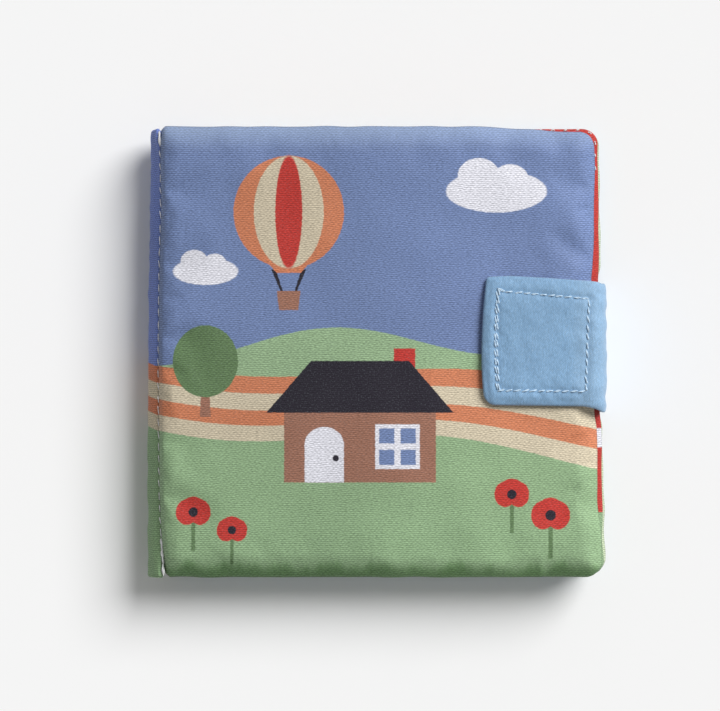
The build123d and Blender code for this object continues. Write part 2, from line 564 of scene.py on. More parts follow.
@dataclass(frozen=True)
class ThreadFinish:
    """Twisted sewing thread."""

    name: str
    ink: Ink

    def material(self) -> bpy.types.Material:
        """Build the node material."""
        bench = Bench(self.name)
        place = bench.node("ShaderNodeTexCoord").outputs["Object"]
        grain = bench.noise(place, 2600.0, 2.0)
        shade = bench.ramp(grain, 0.3, 0.7, 0.0, 1.0)
        colour = bench.mix(shade, self.ink.shade(0.78), self.ink.linear)
        return bench.finish(colour, bench.ramp(grain, 0.2, 0.8, 0.5, 0.7), grain, 0.05 * MM, 0.2)


def link(name: str, data: bpy.types.ID) -> bpy.types.Object:
    """Make an object and put it in the scene.

    Args:
        name: Name of the object.
        data: Its mesh, lamp or camera.

    Returns:
        The object.
    """
    added = bpy.data.objects.new(name, data)
    bpy.context.scene.collection.objects.link(added)
    return added


def mesh_object(name: str, points: Array, faces: Sequence, cloth: Optional[Array] = None) -> bpy.types.Object:
    """Make an object from points and faces.

    Args:
        name: Name of the piece.
        points: Points, one a row.
        faces: Point numbers of each face.
        cloth: Flat cloth coordinates of each point, in metres.

    Returns:
        The new object, smooth shaded.
    """
    mesh = bpy.data.meshes.new(name)
    mesh.from_pydata(points.tolist(), [], [list(face) for face in faces])
    if cloth is not None:
        flat = np.zeros((len(points), 3), np.float32)
        flat[:, : cloth.shape[1]] = cloth / MM
        layer = mesh.attributes.new("cloth", "FLOAT_VECTOR", "POINT")
        layer.data.foreach_set("vector", flat.ravel())
    mesh.shade_smooth()
    mesh.update()
    return link(name, mesh)


def grid_faces(rows: int, columns: int) -> Array:
    """Point numbers of the faces of a grid, counted row by row.

    Args:
        rows: Points down.
        columns: Points across.

    Returns:
        One row of four numbers a face, wound to face up.
    """
    index = np.arange(rows * columns).reshape(rows, columns)
    return np.stack([index[:-1, :-1], index[:-1, 1:], index[1:, 1:], index[1:, :-1]], -1).reshape(-1, 4)


def ring_faces(index: Array) -> Array:
    """Point numbers of the faces between rings.

    Args:
        index: Point numbers, with one ring to a row.

    Returns:
        One row of four numbers a face.
    """
    turned = np.roll(index, -1, axis=-1)
    corners = [index[..., :-1, :], turned[..., :-1, :], turned[..., 1:, :], index[..., 1:, :]]
    return np.stack(corners, -1).reshape(-1, 4)


def two_sheets(name: str, upper: Array, lower: Array, cloth: Array) -> bpy.types.Object:
    """Join an upper and a lower sheet of cloth along their edges into one closed pad.

    Args:
        name: Name of the piece.
        upper: Points of the upper sheet, in rows and columns.
        lower: Points of the lower sheet; its edge is the upper sheet's.
        cloth: Flat cloth coordinates of both sheets.

    Returns:
        The pad, with its upper faces in material slot 0 and its lower faces in slot 1.
    """
    rows, columns = upper.shape[:2]
    inside = ~rim_mask(rows, columns)
    renumber = np.arange(rows * columns).reshape(rows, columns)
    renumber[inside] = rows * columns + np.arange(inside.sum())
    top = grid_faces(rows, columns)
    bottom = renumber.ravel()[top][:, ::-1]
    points = np.concatenate([upper.reshape(-1, 3), lower[inside]])
    flat = np.concatenate([cloth.reshape(-1, 2), cloth[inside]])
    pad = mesh_object(name, points, np.concatenate([top, bottom]), flat)
    slots = np.repeat([0, 1], [len(top), len(bottom)])
    pad.data.polygons.foreach_set("material_index", slots.astype(np.int32))
    return pad


def dress(
    piece: bpy.types.Object, body: str, slot: str, nodes: Sequence[str], *materials: bpy.types.Material
) -> None:
    """Give a piece its materials and its body, and hide the imported nodes that it stands for.

    Args:
        piece: The piece.
        body: Body that it rides on; empty to leave it on no body.
        slot: Not used.
        nodes: Nodes that it stands for.
        materials: Materials, in the order of the piece's face slots.
    """
    for material in materials:
        piece.data.materials.append(material)
    if body:
        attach(piece, body)
    if nodes:
        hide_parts(*nodes)
    LOG.info("%s: %d faces", piece.name, len(piece.data.polygons))


def simulate_sheet(start: Array, tight: Array, slack: float, frames: int = 16, scale: float = 10.0) -> Array:
    """Run a short cloth simulation of a sheet that is held along its edges and pressed outwards.

    Args:
        start: Points of the sheet, in rows and columns.
        tight: Share from 0 to 1 of the slack that each point doesn't get.
        slack: Share by which the cloth is larger than the space that it is sewn into.
        frames: Length of the simulation.
        scale: How much larger than life it runs.

    Returns:
        The settled points, in rows and columns.
    """
    rows, columns = start.shape[:2]
    mesh = bpy.data.meshes.new("settling_sheet")
    mesh.from_pydata((start.reshape(-1, 3) * scale).tolist(), [], grid_faces(rows, columns).tolist())
    sheet = link("settling_sheet", mesh)
    edge = np.flatnonzero(rim_mask(rows, columns).ravel()).tolist()
    sheet.vertex_groups.new(name="sewn").add(edge, 1.0, "REPLACE")
    snug = sheet.vertex_groups.new(name="snug")
    for index, share in enumerate(tight.ravel().tolist()):
        snug.add([index], share, "REPLACE")
    cloth = sheet.modifiers.new("cloth", "CLOTH")
    settings = cloth.settings
    settings.quality = 6
    settings.mass = 0.3
    settings.tension_stiffness = settings.compression_stiffness = 20
    settings.shear_stiffness = 7
    settings.bending_stiffness = 1.5
    settings.tension_damping = settings.compression_damping = settings.shear_damping = 10
    settings.air_damping = 2
    settings.vertex_group_mass = "sewn"
    settings.vertex_group_shrink = "snug"
    settings.shrink_min = -slack
    settings.shrink_max = 0.0
    settings.use_pressure = True
    settings.uniform_pressure_force = 0.25
    settings.effector_weights.gravity = 0
    cloth.collision_settings.use_collision = False
    cloth.point_cache.frame_end = frames
    for number in range(1, frames + 1):
        bpy.context.scene.frame_set(number)
    settled = sheet.evaluated_get(bpy.context.evaluated_depsgraph_get())
    points = np.empty(rows * columns * 3)
    settled.data.vertices.foreach_get("co", points)
    bpy.data.objects.remove(sheet)
    bpy.data.meshes.remove(mesh)
    bpy.context.scene.frame_set(1)
    return points.reshape(rows, columns, 3) / scale


@dataclass(frozen=True)
class Dent:
    """A soft hollow in a padded face, turned by an angle."""

    x: float
    y: float
    reach_x: float
    reach_y: float
    depth: float
    turn: float = 0.0

    def at(self, x: Array, y: Array) -> Array:
        """Depth of the hollow at each place."""
        c, s = math.cos(self.turn), math.sin(self.turn)
        across = ((x - self.x) * c + (y - self.y) * s) / self.reach_x
        along = ((y - self.y) * c - (x - self.x) * s) / self.reach_y
        return self.depth * np.exp(-(across**2) - along**2)


@dataclass(frozen=True)
class Pleat:
    """A crisp pleat at the tail edge: the edge steps down at one side of it and comes up again slowly."""

    x: float
    depth: float
    step: float = 0.8 * MM
    reach_x: float = 17.0 * MM
    reach_y: float = 11.0 * MM

    def at(self, x: Array, tail: Array) -> Array:
        """Fall of the cloth at each place, from its distance to the tail edge."""
        past = x - self.x
        across = smooth(past, 0, self.step) * (1 - np.clip(past / self.reach_x, 0, 1) ** 2)
        return self.depth * across * (1 - np.clip(tail / self.reach_y, 0, 1)) ** 2


@dataclass(frozen=True)
class SeamLine:
    """How far the binding seam strays from straight along the spine, in millimetres."""

    places: tuple[float, ...] = (
        -76.0, -70.0, -62.0, -48.0, -36.0, 0.0, 20.0, 33.0, 45.0, 52.0, 64.0, 76.0,
    )
    offsets: tuple[float, ...] = (
        1.1, 0.9, 0.3, -0.45, -0.55, -0.85, -0.75, -0.5, -0.1, -0.1, -0.35, -0.75,
    )

    def at(self, y: Array) -> Array:
        """Offset of the seam towards the fore edge at each place, in metres."""
        return np.interp(y / MM, self.places, self.offsets) * MM


@dataclass
class PaddedPanel:
    """A padded panel of the book: two printed sheets sewn round their edge over flat wadding."""

    name: str
    spine_x: float
    fore_head_x: float
    fore_tail_x: float
    head_y: float
    tail_y: float
    seam_z: float
    rise: float
    drop: float
    seed: int
    spine_seam_z: float
    fore_bow: float = 0.0
    head_corner_drop: float = 0.0
    tail_flare: float = 0.0
    pinch: float = 0.0
    fore_pull: float = 0.0
    fore_droop: float = 0.0
    tail_droop: float = 0.0
    head_droop: float = 0.0
    dome: float = 0.0
    power: float = 2.5
    fore_taper: float = 8.0 * MM
    end_taper: float = 8.0 * MM
    spine_taper: float = 9.0 * MM
    uneven_taper: float = 0.0
    sink_reach: float = 9.0 * MM
    corner: float = 5.5 * MM
    spine_corner: float = 1.5 * MM
    head_nick: float = 0.3 * MM
    tail_nick: float = 2.0 * MM
    nick_length: float = 16.0 * MM
    wave: float = 0.22 * MM
    pucker: float = 0.45 * MM
    step: float = 1.3 * MM
    margin: float = 9.0 * MM
    fine: float = 0.7 * MM
    floor_z: float = 0.03 * MM
    dents: tuple[Dent, ...] = ()
    pleat: Optional[Pleat] = None
    press: Optional[Callable[[Array, Array, Array], Array]] = None
    slack: float = 0.0
    seam_line: Optional[SeamLine] = None
    pucker_gain: float = 1.3
    end_calm: float = 0.0
    sim_step: float = 1.5 * MM
    sim_cap: float = 1.2 * MM
    outline: Array = field(init=False, repr=False)

    FLARE_SHARES = (0.08, 0.18)
    FALL_SHARES = (0.70, 0.97)
    TAB_Y = 2.2 * MM
    PINCH_REACHES = (21 * MM, 28 * MM)
    PULL_Y, PULL_REACH = 29.0 * MM, 9.0 * MM
    FORE_RIPPLE = Ripple(0.18 * MM, 17 * MM, 5)
    HEAD_RIPPLE = Ripple(0.12 * MM, 15 * MM, 6)
    TAIL_RIPPLE = Ripple(0.12 * MM, 15 * MM, 7)
    FACE_WAVELENGTH, FACE_SEED = 26 * MM, 4
    TAPER_WAVELENGTH, TAPER_SEED = 34 * MM, 8
    DOME_HALF = 0.08
    EDGE_LENGTH = 0.15
    TUCK_SPACING = (3.0, 11.0)
    TUCK_WIDTH = (0.7, 1.9)
    TUCK_REACH = (2.5, 7.0)
    TUCK_LEAN = 0.35
    TUCK_DEPTH = (0.25, 1.0)
    SPINE_TUCKS, LOWER_TUCKS = 0.6, 0.4
    SNUG, SNUG_REACHES = 0.88, (3 * MM, 16 * MM)
    SHARED_REACH = 9 * MM
    LOWER_PUCKERS = 0.7
    TINY = 1e-6

    def flat(self, across: Array, along: Array) -> tuple[Array, Array, Array, Array, Array, Array]:
        """Lay the panel's cloth out flat.

        Args:
            across: Shares from the spine edge to the fore edge.
            along: Shares from the tail edge to the head edge.

        Returns:
            X and Y of each point, and its distances from the spine, fore, tail and head edges.
        """
        width = self.fore_tail_x - self.spine_x
        height = self.head_y - self.tail_y
        u, v = np.meshgrid(across, along)
        y_plain = self.tail_y + height * v
        near_head = smooth(y_plain - self.head_y, -self.nick_length, 0)
        near_tail = smooth(self.tail_y - y_plain, -self.nick_length, 0)
        left = self.spine_x + self.head_nick * near_head + self.tail_nick * near_tail
        if self.seam_line is not None:
            left = left + self.seam_line.at(y_plain)
        right = self.fore_tail_x + (self.fore_head_x - self.fore_tail_x) * v - self.fore_bow * v * (1 - v)
        right = right + self.tail_flare * (1 - smooth(v, *self.FLARE_SHARES))
        right = right - self.pinch * (1 - smooth(np.abs(y_plain - self.TAB_Y), *self.PINCH_REACHES))
        right = right - self.fore_pull * bell(y_plain - self.PULL_Y, self.PULL_REACH)
        right = right + self.FORE_RIPPLE.at(y_plain, 0 * y_plain, self.seed)
        head = self.head_y - self.head_corner_drop * smooth(u, *self.FALL_SHARES)
        head = head + self.HEAD_RIPPLE.at(width * u, 0 * u, self.seed)
        tail = self.tail_y + self.TAIL_RIPPLE.at(width * u, 0 * u, self.seed)
        x = left + (right - left) * u
        y = tail + (head - tail) * v
        return x, y, x - left, right - x, y - tail, head - y

    def tucks(self, along: Array, inward: Array, number: int) -> Array:
        """Short tucks that a sewn edge draws into the cloth.

        Args:
            along: Place along the edge, from its middle.
            inward: Distance from the edge.
            number: Which edge it is; added to the panel's seed.

        Returns:
            Depth of the tucks at each place.
        """
        rng = np.random.default_rng(self.seed + number)
        total = np.zeros_like(along)
        place = -self.EDGE_LENGTH / 2
        while place < self.EDGE_LENGTH / 2:
            place += rng.uniform(*self.TUCK_SPACING) * MM
            width = rng.uniform(*self.TUCK_WIDTH) * MM
            reach = rng.uniform(*self.TUCK_REACH) * MM
            lean = rng.uniform(-self.TUCK_LEAN, self.TUCK_LEAN)
            depth = self.pucker * rng.uniform(*self.TUCK_DEPTH)
            beside = (along - place + lean * inward) / width
            total += depth * np.exp(-(beside**2) - (inward / reach) ** 2)
        return total

    def heights(self, x: Array, y: Array, edges: Sequence[Array]) -> tuple[Array, Array]:
        """Heights of the two sheets over the flat cloth.

        Args:
            x: X of each point.
            y: Y of each point.
            edges: Distances from the spine, fore, tail and head edges.

        Returns:
            The upper and the lower sheet's heights.
        """
        spine, fore, tail, head = edges
        uneven = Ripple(self.uneven_taper, self.TAPER_WAVELENGTH, self.TAPER_SEED).at(x, 0 * y, self.seed)
        end_taper = self.end_taper * (1 + uneven)
        padded_fore = padding(fore, self.fore_taper, self.power)
        padded_tail, padded_head = padding(tail, end_taper, self.power), padding(head, end_taper, self.power)
        loft = padding(spine, self.spine_taper, self.power) * padded_fore * padded_tail * padded_head
        seam = self.seam_z + (self.spine_seam_z - self.seam_z) * (1 - smooth(spine, 0, self.sink_reach))
        droops = [self.fore_droop * (1 - padded_fore), self.tail_droop * (1 - padded_tail)]
        seam = seam - np.maximum.reduce([*droops, self.head_droop * (1 - padded_head)])
        if self.pleat is not None:
            seam = seam - self.pleat.at(x, tail)
        across = x - (self.spine_x + self.fore_tail_x) / 2
        tucks = self.tucks(across, tail, 0) + self.tucks(across, head, 1)
        tucks = tucks + self.tucks(y, fore, 2) + self.SPINE_TUCKS * self.tucks(y, spine, 3)
        hollow = sum((dent.at(x, y) for dent in self.dents), np.zeros_like(x))
        wave = Ripple(self.wave, self.FACE_WAVELENGTH, self.FACE_SEED).at(x, y, self.seed)
        dome = self.dome * np.cos(math.pi / 2 * across / self.DOME_HALF)
        dome = dome * np.cos(math.pi / 2 * y / self.DOME_HALF)
        upper = seam + loft * (self.rise + dome + wave - hollow - tucks)
        lower = seam - loft * (self.drop - self.LOWER_TUCKS * tucks)
        return upper, lower

    def settle(self, across: Array, along: Array) -> Array:
        """Pucker the upper sheet along its seams, as slack cloth does that is sewn and pressed out.

        The swelling that all of an edge shares is left out, because the panel's own profile gives it.

        Args:
            across: Shares at which the result is wanted, from the spine edge to the fore edge.
            along: Shares from the tail edge to the head edge.

        Returns:
            How far each point of the sheet has moved.
        """
        width, height = self.fore_tail_x - self.spine_x, self.head_y - self.tail_y
        coarse_across = np.linspace(0, 1, round(width / self.sim_step) + 1)
        coarse_along = np.linspace(0, 1, round(height / self.sim_step) + 1)
        x, y, *edges = self.flat(coarse_across, coarse_along)
        start = np.stack([x, y, self.heights(x, y, edges)[0]], -1)
        tight = self.SNUG * smooth(np.min(edges, axis=0), *self.SNUG_REACHES)
        moved = simulate_sheet(start, tight, self.slack) - start
        spread = self.SHARED_REACH / self.sim_step
        to_side, to_end = np.minimum(edges[0], edges[1]), np.minimum(edges[2], edges[3])
        share = ((to_side + self.TINY) / (to_side + to_end + 2 * self.TINY))[..., None]
        moved = moved - share * blur(moved, spread, 1) - (1 - share) * blur(moved, spread, 0)
        moved = np.clip(self.pucker_gain * moved, -self.sim_cap, self.sim_cap) * (1 - self.end_calm * share)
        moved = np.apply_along_axis(lambda line: np.interp(along, coarse_along, line), 0, moved)
        return np.apply_along_axis(lambda line: np.interp(across, coarse_across, line), 1, moved)

    def build(self) -> bpy.types.Object:
        """Build the panel's mesh.

        Returns:
            The closed pad.
        """
        across = stations(self.fore_tail_x - self.spine_x, self.margin, self.fine, self.step)
        along = stations(self.head_y - self.tail_y, self.margin, self.fine, self.step)
        x, y, *edges = self.flat(across, along)
        upper, lower = self.heights(x, y, edges)
        if self.slack:
            moved = self.settle(across, along)
            upper = upper + moved[..., 2]
            lower = np.maximum(lower - self.LOWER_PUCKERS * moved[:, ::-1, 2], self.floor_z)
        if self.press is not None:
            upper = upper - self.press(x, y, upper)
        spine, fore, tail, head = edges
        fore_head, head_fore = rounded(fore, head, self.corner)
        fore_tail, tail_fore = rounded(fore, tail, self.corner)
        spine_head, head_spine = rounded(spine, head, self.spine_corner)
        spine_tail, tail_spine = rounded(spine, tail, self.spine_corner)
        x = x + (fore - fore_head) + (fore - fore_tail) - (spine - spine_head) - (spine - spine_tail)
        y = y + (head - head_fore) + (head - head_spine) - (tail - tail_fore) - (tail - tail_spine)
        lower = np.where(rim_mask(*x.shape), upper, lower)
        face, lining = np.stack([x, y, upper], -1), np.stack([x, y, lower], -1)
        pad = two_sheets(self.name, face, lining, face[..., :2])
        self.outline = np.concatenate([face[0, :-1], face[:-1, -1], face[-1, :0:-1], face[:0:-1, 0]])
        return pad


class BentPath:
    """A line of straight runs and round bends in the XZ plane."""

    def __init__(self, corners: Sequence[tuple[float, float]], radii: Sequence[float]) -> None:
        """Sample the line through the corners, each corner but the ends rounded by its radius."""
        points = [np.array(corner) for corner in corners]
        samples = [points[0]]
        for before, corner, after, radius in zip(points, points[1:], points[2:], radii):
            inward = (before - corner) / np.linalg.norm(before - corner)
            onward = (after - corner) / np.linalg.norm(after - corner)
            half = math.acos(float(inward @ onward)) / 2
            start = corner + inward * radius / math.tan(half)
            end = corner + onward * radius / math.tan(half)
            middle = corner + (inward + onward) / np.linalg.norm(inward + onward) * radius / math.sin(half)
            for share in np.linspace(0, 1, 24):
                arm = (start - middle) * (1 - share) + (end - middle) * share
                samples.append(middle + arm / np.linalg.norm(arm) * radius)
        samples.append(points[-1])
        self.points = np.array(samples)
        steps = np.diff(self.points, axis=0)
        self.lengths = np.concatenate([[0], np.cumsum(np.linalg.norm(steps, axis=1))])
        angles = np.unwrap(np.arctan2(steps[:, 1], steps[:, 0]))
        self.angles = np.concatenate([angles[:1], (angles[1:] + angles[:-1]) / 2, angles[-1:]])

    @property
    def length(self) -> float:
        """The line's whole length."""
        return float(self.lengths[-1])

    def at(self, travel: Array) -> tuple[Array, Array, Array, Array]:
        """Where the line is after a travel.

        Args:
            travel: Lengths along the line.

        Returns:
            X, Z and the line's right-hand normal there, as X and Z.
        """
        x = np.interp(travel, self.lengths, self.points[:, 0])
        z = np.interp(travel, self.lengths, self.points[:, 1])
        angle = np.interp(travel, self.lengths, self.angles)
        return x, z, np.sin(angle), -np.cos(angle)


@dataclass
class ClosingTab:
    """The light blue tab: a turned strip of cloth from the back cover's fore edge onto the front cover."""

    root_x: float
    root_z: float
    run_x: float
    flap_z: float
    free_x: float
    flat_width: float = 44 * MM
    half_thickness: float = 0.68 * MM
    root_bend: float = 0.6 * MM
    fold_bend: float = 6.0 * MM
    rim: float = 0.7 * MM
    corner: float = 3.6 * MM
    head_corner: float = 1.2 * MM
    head_line: tuple[tuple[float, float], ...] = (
        (0.0, 24.0 * MM), (0.36, 22.9 * MM), (0.40, 23.5 * MM), (0.65, 24.7 * MM), (0.85, 25.4 * MM),
        (1.0, 25.0 * MM),
    )
    tail_line: tuple[tuple[float, float], ...] = (
        (0.0, -20.2 * MM), (0.36, -20.5 * MM), (0.41, -19.3 * MM), (0.47, -18.5 * MM), (0.85, -18.2 * MM),
        (1.0, -18.1 * MM)
    )
    seam_corners: tuple[tuple[float, float], ...] = (
        (40.1 * MM, 20.3 * MM), (70.8 * MM, 17.6 * MM), (69.7 * MM, -13.5 * MM), (39.9 * MM, -13.1 * MM)
    )
    path: BentPath = field(init=False, repr=False)

    def __post_init__(self) -> None:
        """Lay the strip's line from its root to its free end."""
        corners = [
            (self.root_x, self.root_z), (self.run_x, self.root_z),
            (self.run_x, self.flap_z), (self.free_x, self.flap_z),
        ]
        self.path = BentPath(corners, [self.root_bend, self.fold_bend])

    def seam_distance(self, x: Array, y: Array) -> tuple[Array, Array]:
        """Distance from the box seam, and 1 inside the box.

        Args:
            x: X of each place on the flap.
            y: Y of each place.

        Returns:
            The distances, and the inside as 0 or 1.
        """
        nearest = np.full_like(x, 1.0)
        inside = np.ones_like(x, bool)
        for (ax, ay), (bx, by) in zip(self.seam_corners, self.seam_corners[1:] + self.seam_corners[:1]):
            length = math.hypot(bx - ax, by - ay)
            tx, ty = (bx - ax) / length, (by - ay) / length
            along = np.clip((x - ax) * tx + (y - ay) * ty, 0, length)
            nearest = np.minimum(nearest, np.hypot(x - ax - along * tx, y - ay - along * ty))
            inside &= (x - ax) * ty - (y - ay) * tx > 0
        return nearest, inside.astype(float)

    @staticmethod
    def lead(across: Array) -> Array:
        """How far the bowed free end falls short of its furthest place."""
        middle = 0.38
        head_side = 1.75 * MM * (np.clip(across - middle, 0, 1) / (1 - middle)) ** 2
        return head_side + 1.1 * MM * (np.clip(middle - across, 0, 1) / middle) ** 2

    def surface(self, travel: Array, across: Array) -> tuple[Array, Array]:
        """The strip's two sheets.

        Args:
            travel: Lengths from the root, along the strip's tail edge.
            across: Shares from the tail edge, 0, to the head edge, 1.

        Returns:
            Points of the outer sheet and points of the inner sheet.
        """
        lead = self.lead(across)
        travel = travel - lead * travel / self.path.length
        x, z, nx, nz = self.path.at(travel)
        head = np.interp(travel / self.path.length, *zip(*self.head_line))
        tail = np.interp(travel / self.path.length, *zip(*self.tail_line))
        y = tail + (head - tail) * across
        to_end = self.path.length - lead - travel
        to_side = np.minimum(y - tail, head - y)
        edge = np.minimum(to_end, to_side)
        seam, inside = self.seam_distance(x, y)
        on_flap = smooth(nz, 0.3, 0.9)
        sag = 0.85 * MM * (1 - smooth(to_side, 0.0, 6.0 * MM))
        sag = sag + 0.5 * MM * (1 - smooth(to_end, 0.0, 4.0 * MM))
        droop = on_flap * sag * (1 - inside)
        puff = 0.22 * MM * inside * smooth(seam, 0, 5 * MM)
        puff = puff + 0.20 * MM * (1 - inside) * smooth(seam, 0, 2.5 * MM)
        crease = 0.34 * MM * np.exp(-((seam / (0.75 * MM)) ** 2)) * on_flap
        ripple = 0.16 * MM * swell(travel, y, 31, 13 * MM) + 0.06 * MM * swell(travel, y, 32, 5 * MM)
        ripple = ripple + 0.22 * MM * swell(0.35 * travel, y, 33, 9 * MM) * smooth(x, 0.060, 0.072)
        ripple = ripple + 0.12 * MM * swell(travel, y, 34, 4.5 * MM) * np.exp(-((seam / (3.0 * MM)) ** 2))
        thick = self.half_thickness * crown(edge, self.rim) * (0.55 + 0.45 * smooth(edge, 0, 3 * MM))
        lift = puff * on_flap - crease + ripple * smooth(edge, 0, 2 * MM)
        outer = thick + lift * smooth(edge, 0, 1 * MM)
        normal = np.stack([nx, np.zeros_like(nx), nz], -1)
        middle = np.stack([x, y, z - droop], -1)
        return middle + outer[..., None] * normal, middle - thick[..., None] * normal

    def on_flap(self, x: Array, y: Array) -> Array:
        """Points of the flap's outer side above places in XY.

        Args:
            x: X of each place.
            y: Y of each place.

        Returns:
            The points.
        """
        width = self.head_line[-1][1] - self.tail_line[-1][1]
        across = (y - self.tail_line[-1][1]) / width
        travel = self.path.length - (x - self.free_x)
        for _ in range(8):
            found, _ = self.surface(travel, across)
            travel = travel + found[:, 0] - x
            across = across + (y - found[:, 1]) / width
        return found

    def seam_lines(self) -> list[tuple[Array, Array]]:
        """Lines of the box seam on the flap, its free side sewn twice.

        Returns:
            Each line's points and normals.
        """
        corners = [np.array(corner) for corner in self.seam_corners]
        sides = list(zip(corners, corners[1:] + corners[:1]))
        twice = (sides[3][1] + np.array([0.6 * MM, 1.0 * MM]), sides[3][0] + np.array([0.75 * MM, -0.4 * MM]))
        knot = (corners[0] + np.array([0.1 * MM, 1.3 * MM]), corners[0] + np.array([2.4 * MM, -0.6 * MM]))
        lines = []
        for first, last in [*sides, twice, knot]:
            share = np.linspace(0, 1, 40)
            plan = first + np.outer(share, last - first)
            bowed = abs(first[1] - last[1]) > 10 * MM and first[0] < 45 * MM
            bow = 0.7 * MM * np.sin(math.pi * share) * bowed
            points = self.on_flap(plan[:, 0] - bow, plan[:, 1])
            lines.append((points, upright(len(points))))
        return lines

    def build(self) -> bpy.types.Object:
        """Build the tab's mesh.

        Returns:
            The closed strip.
        """
        travel = stations(self.path.length, 3 * MM, 0.35 * MM, 0.75 * MM) * self.path.length
        across = stations(self.flat_width, 3 * MM, 0.35 * MM, 0.8 * MM)
        t, s = np.meshgrid(across, travel)
        outer, inner = self.surface(s, t)
        width = self.head_line[-1][1] - self.tail_line[-1][1]
        to_end, to_tail, to_head = self.path.length - s, t * width, (1 - t) * width
        tail_end, moved_tail = rounded(to_end, to_tail, self.corner)
        head_end, moved_head = rounded(to_end, to_head, self.head_corner)
        aside = moved_tail - to_tail + to_head - moved_head
        shift = np.stack([tail_end + head_end - 2 * to_end, aside, 0 * s], -1)
        outer, inner = outer + shift, inner + shift
        edge = rim_mask(*s.shape)
        inner[edge] = outer[edge] = (inner[edge] + outer[edge]) / 2
        return two_sheets("closing_tab_cloth", outer, inner, np.stack([t * self.flat_width, s], -1))


@dataclass(frozen=True)
class Thread:
    """Two-ply thread, and how long its stitches are."""

    radius: float
    length: float
    gap: float
    slant: float
    seed: int
    lift: float = 0.20 * MM
    sides: int = 6
    steps: int = 9

    def stitch(self, start: Array, end: Array, normal: Array, phase: float) -> tuple[Array, Array]:
        """One stitch: two strands twisted together, diving into the cloth at both ends.

        Args:
            start: Where it comes out.
            end: Where it goes in.
            normal: The cloth's outward direction.
            phase: Turn of the twist at its start.

        Returns:
            Its points and faces.
        """
        along = (end - start) / np.linalg.norm(end - start)
        side = np.cross(normal, along)
        share = np.linspace(0, 1, self.steps)
        arch = np.sin(math.pi * share) ** 0.35
        centre = start + np.outer(share, end - start) + np.outer((arch - 0.25) * self.lift * 1.6, normal)
        rings = np.linspace(0, 2 * math.pi, self.sides, endpoint=False)
        points, faces = [], []
        for ply in (0, math.pi):
            twist = phase + ply + share * 1.6 * math.pi
            offset = np.outer(np.cos(twist), side) + np.outer(np.sin(twist), normal)
            core = centre + offset * self.radius * 0.48 * arch[:, None]
            radius = self.radius * 0.62 * (0.12 + 0.88 * arch)
            ring = np.outer(np.cos(rings), side) + np.outer(np.sin(rings), normal)
            tube = core[:, None, :] + radius[:, None, None] * ring[None]
            faces.append(self.tube_faces() + len(points) * self.sides * self.steps)
            points.append(tube.reshape(-1, 3))
        return np.concatenate(points), np.concatenate(faces)

    def tube_faces(self) -> Array:
        """Point numbers of one strand's faces, its ends left to sink in the cloth."""
        return ring_faces(np.arange(self.steps * self.sides).reshape(self.steps, self.sides))

    def run(self, name: str, lines: Sequence[tuple[Array, Array]]) -> bpy.types.Object:
        """Sew stitches along lines.

        Args:
            name: Name of the piece.
            lines: For each line, its points and the outward normals there.

        Returns:
            All the stitches as one object.
        """
        rng = np.random.default_rng(self.seed)
        points, faces, count = [], [], 0
        for line, normals in lines:
            travel = np.concatenate([[0], np.cumsum(np.linalg.norm(np.diff(line, axis=0), axis=1))])
            number = max(1, int(travel[-1] // (self.length + self.gap)))
            pitch = travel[-1] / number
            for index in range(number):
                middle = (index + 0.5) * pitch + rng.normal(0, 0.05) * self.length
                half = self.length * rng.uniform(0.43, 0.53)
                places = (middle - half, middle + half)
                at = [np.array([np.interp(place, travel, column) for column in line.T]) for place in places]
                normal = np.array([np.interp(middle, travel, normals[:, k]) for k in range(3)])
                normal = normal / np.linalg.norm(normal)
                side = np.cross(normal, at[1] - at[0])
                lean = side / np.linalg.norm(side) * self.length * (self.slant + rng.normal(0, 0.035))
                bar, quads = self.stitch(at[0] - lean, at[1] + lean, normal, rng.uniform(0, 2 * math.pi))
                points.append(bar)
                faces.append(quads + count)
                count += len(bar)
        return mesh_object(name, np.concatenate(points), np.concatenate(faces))


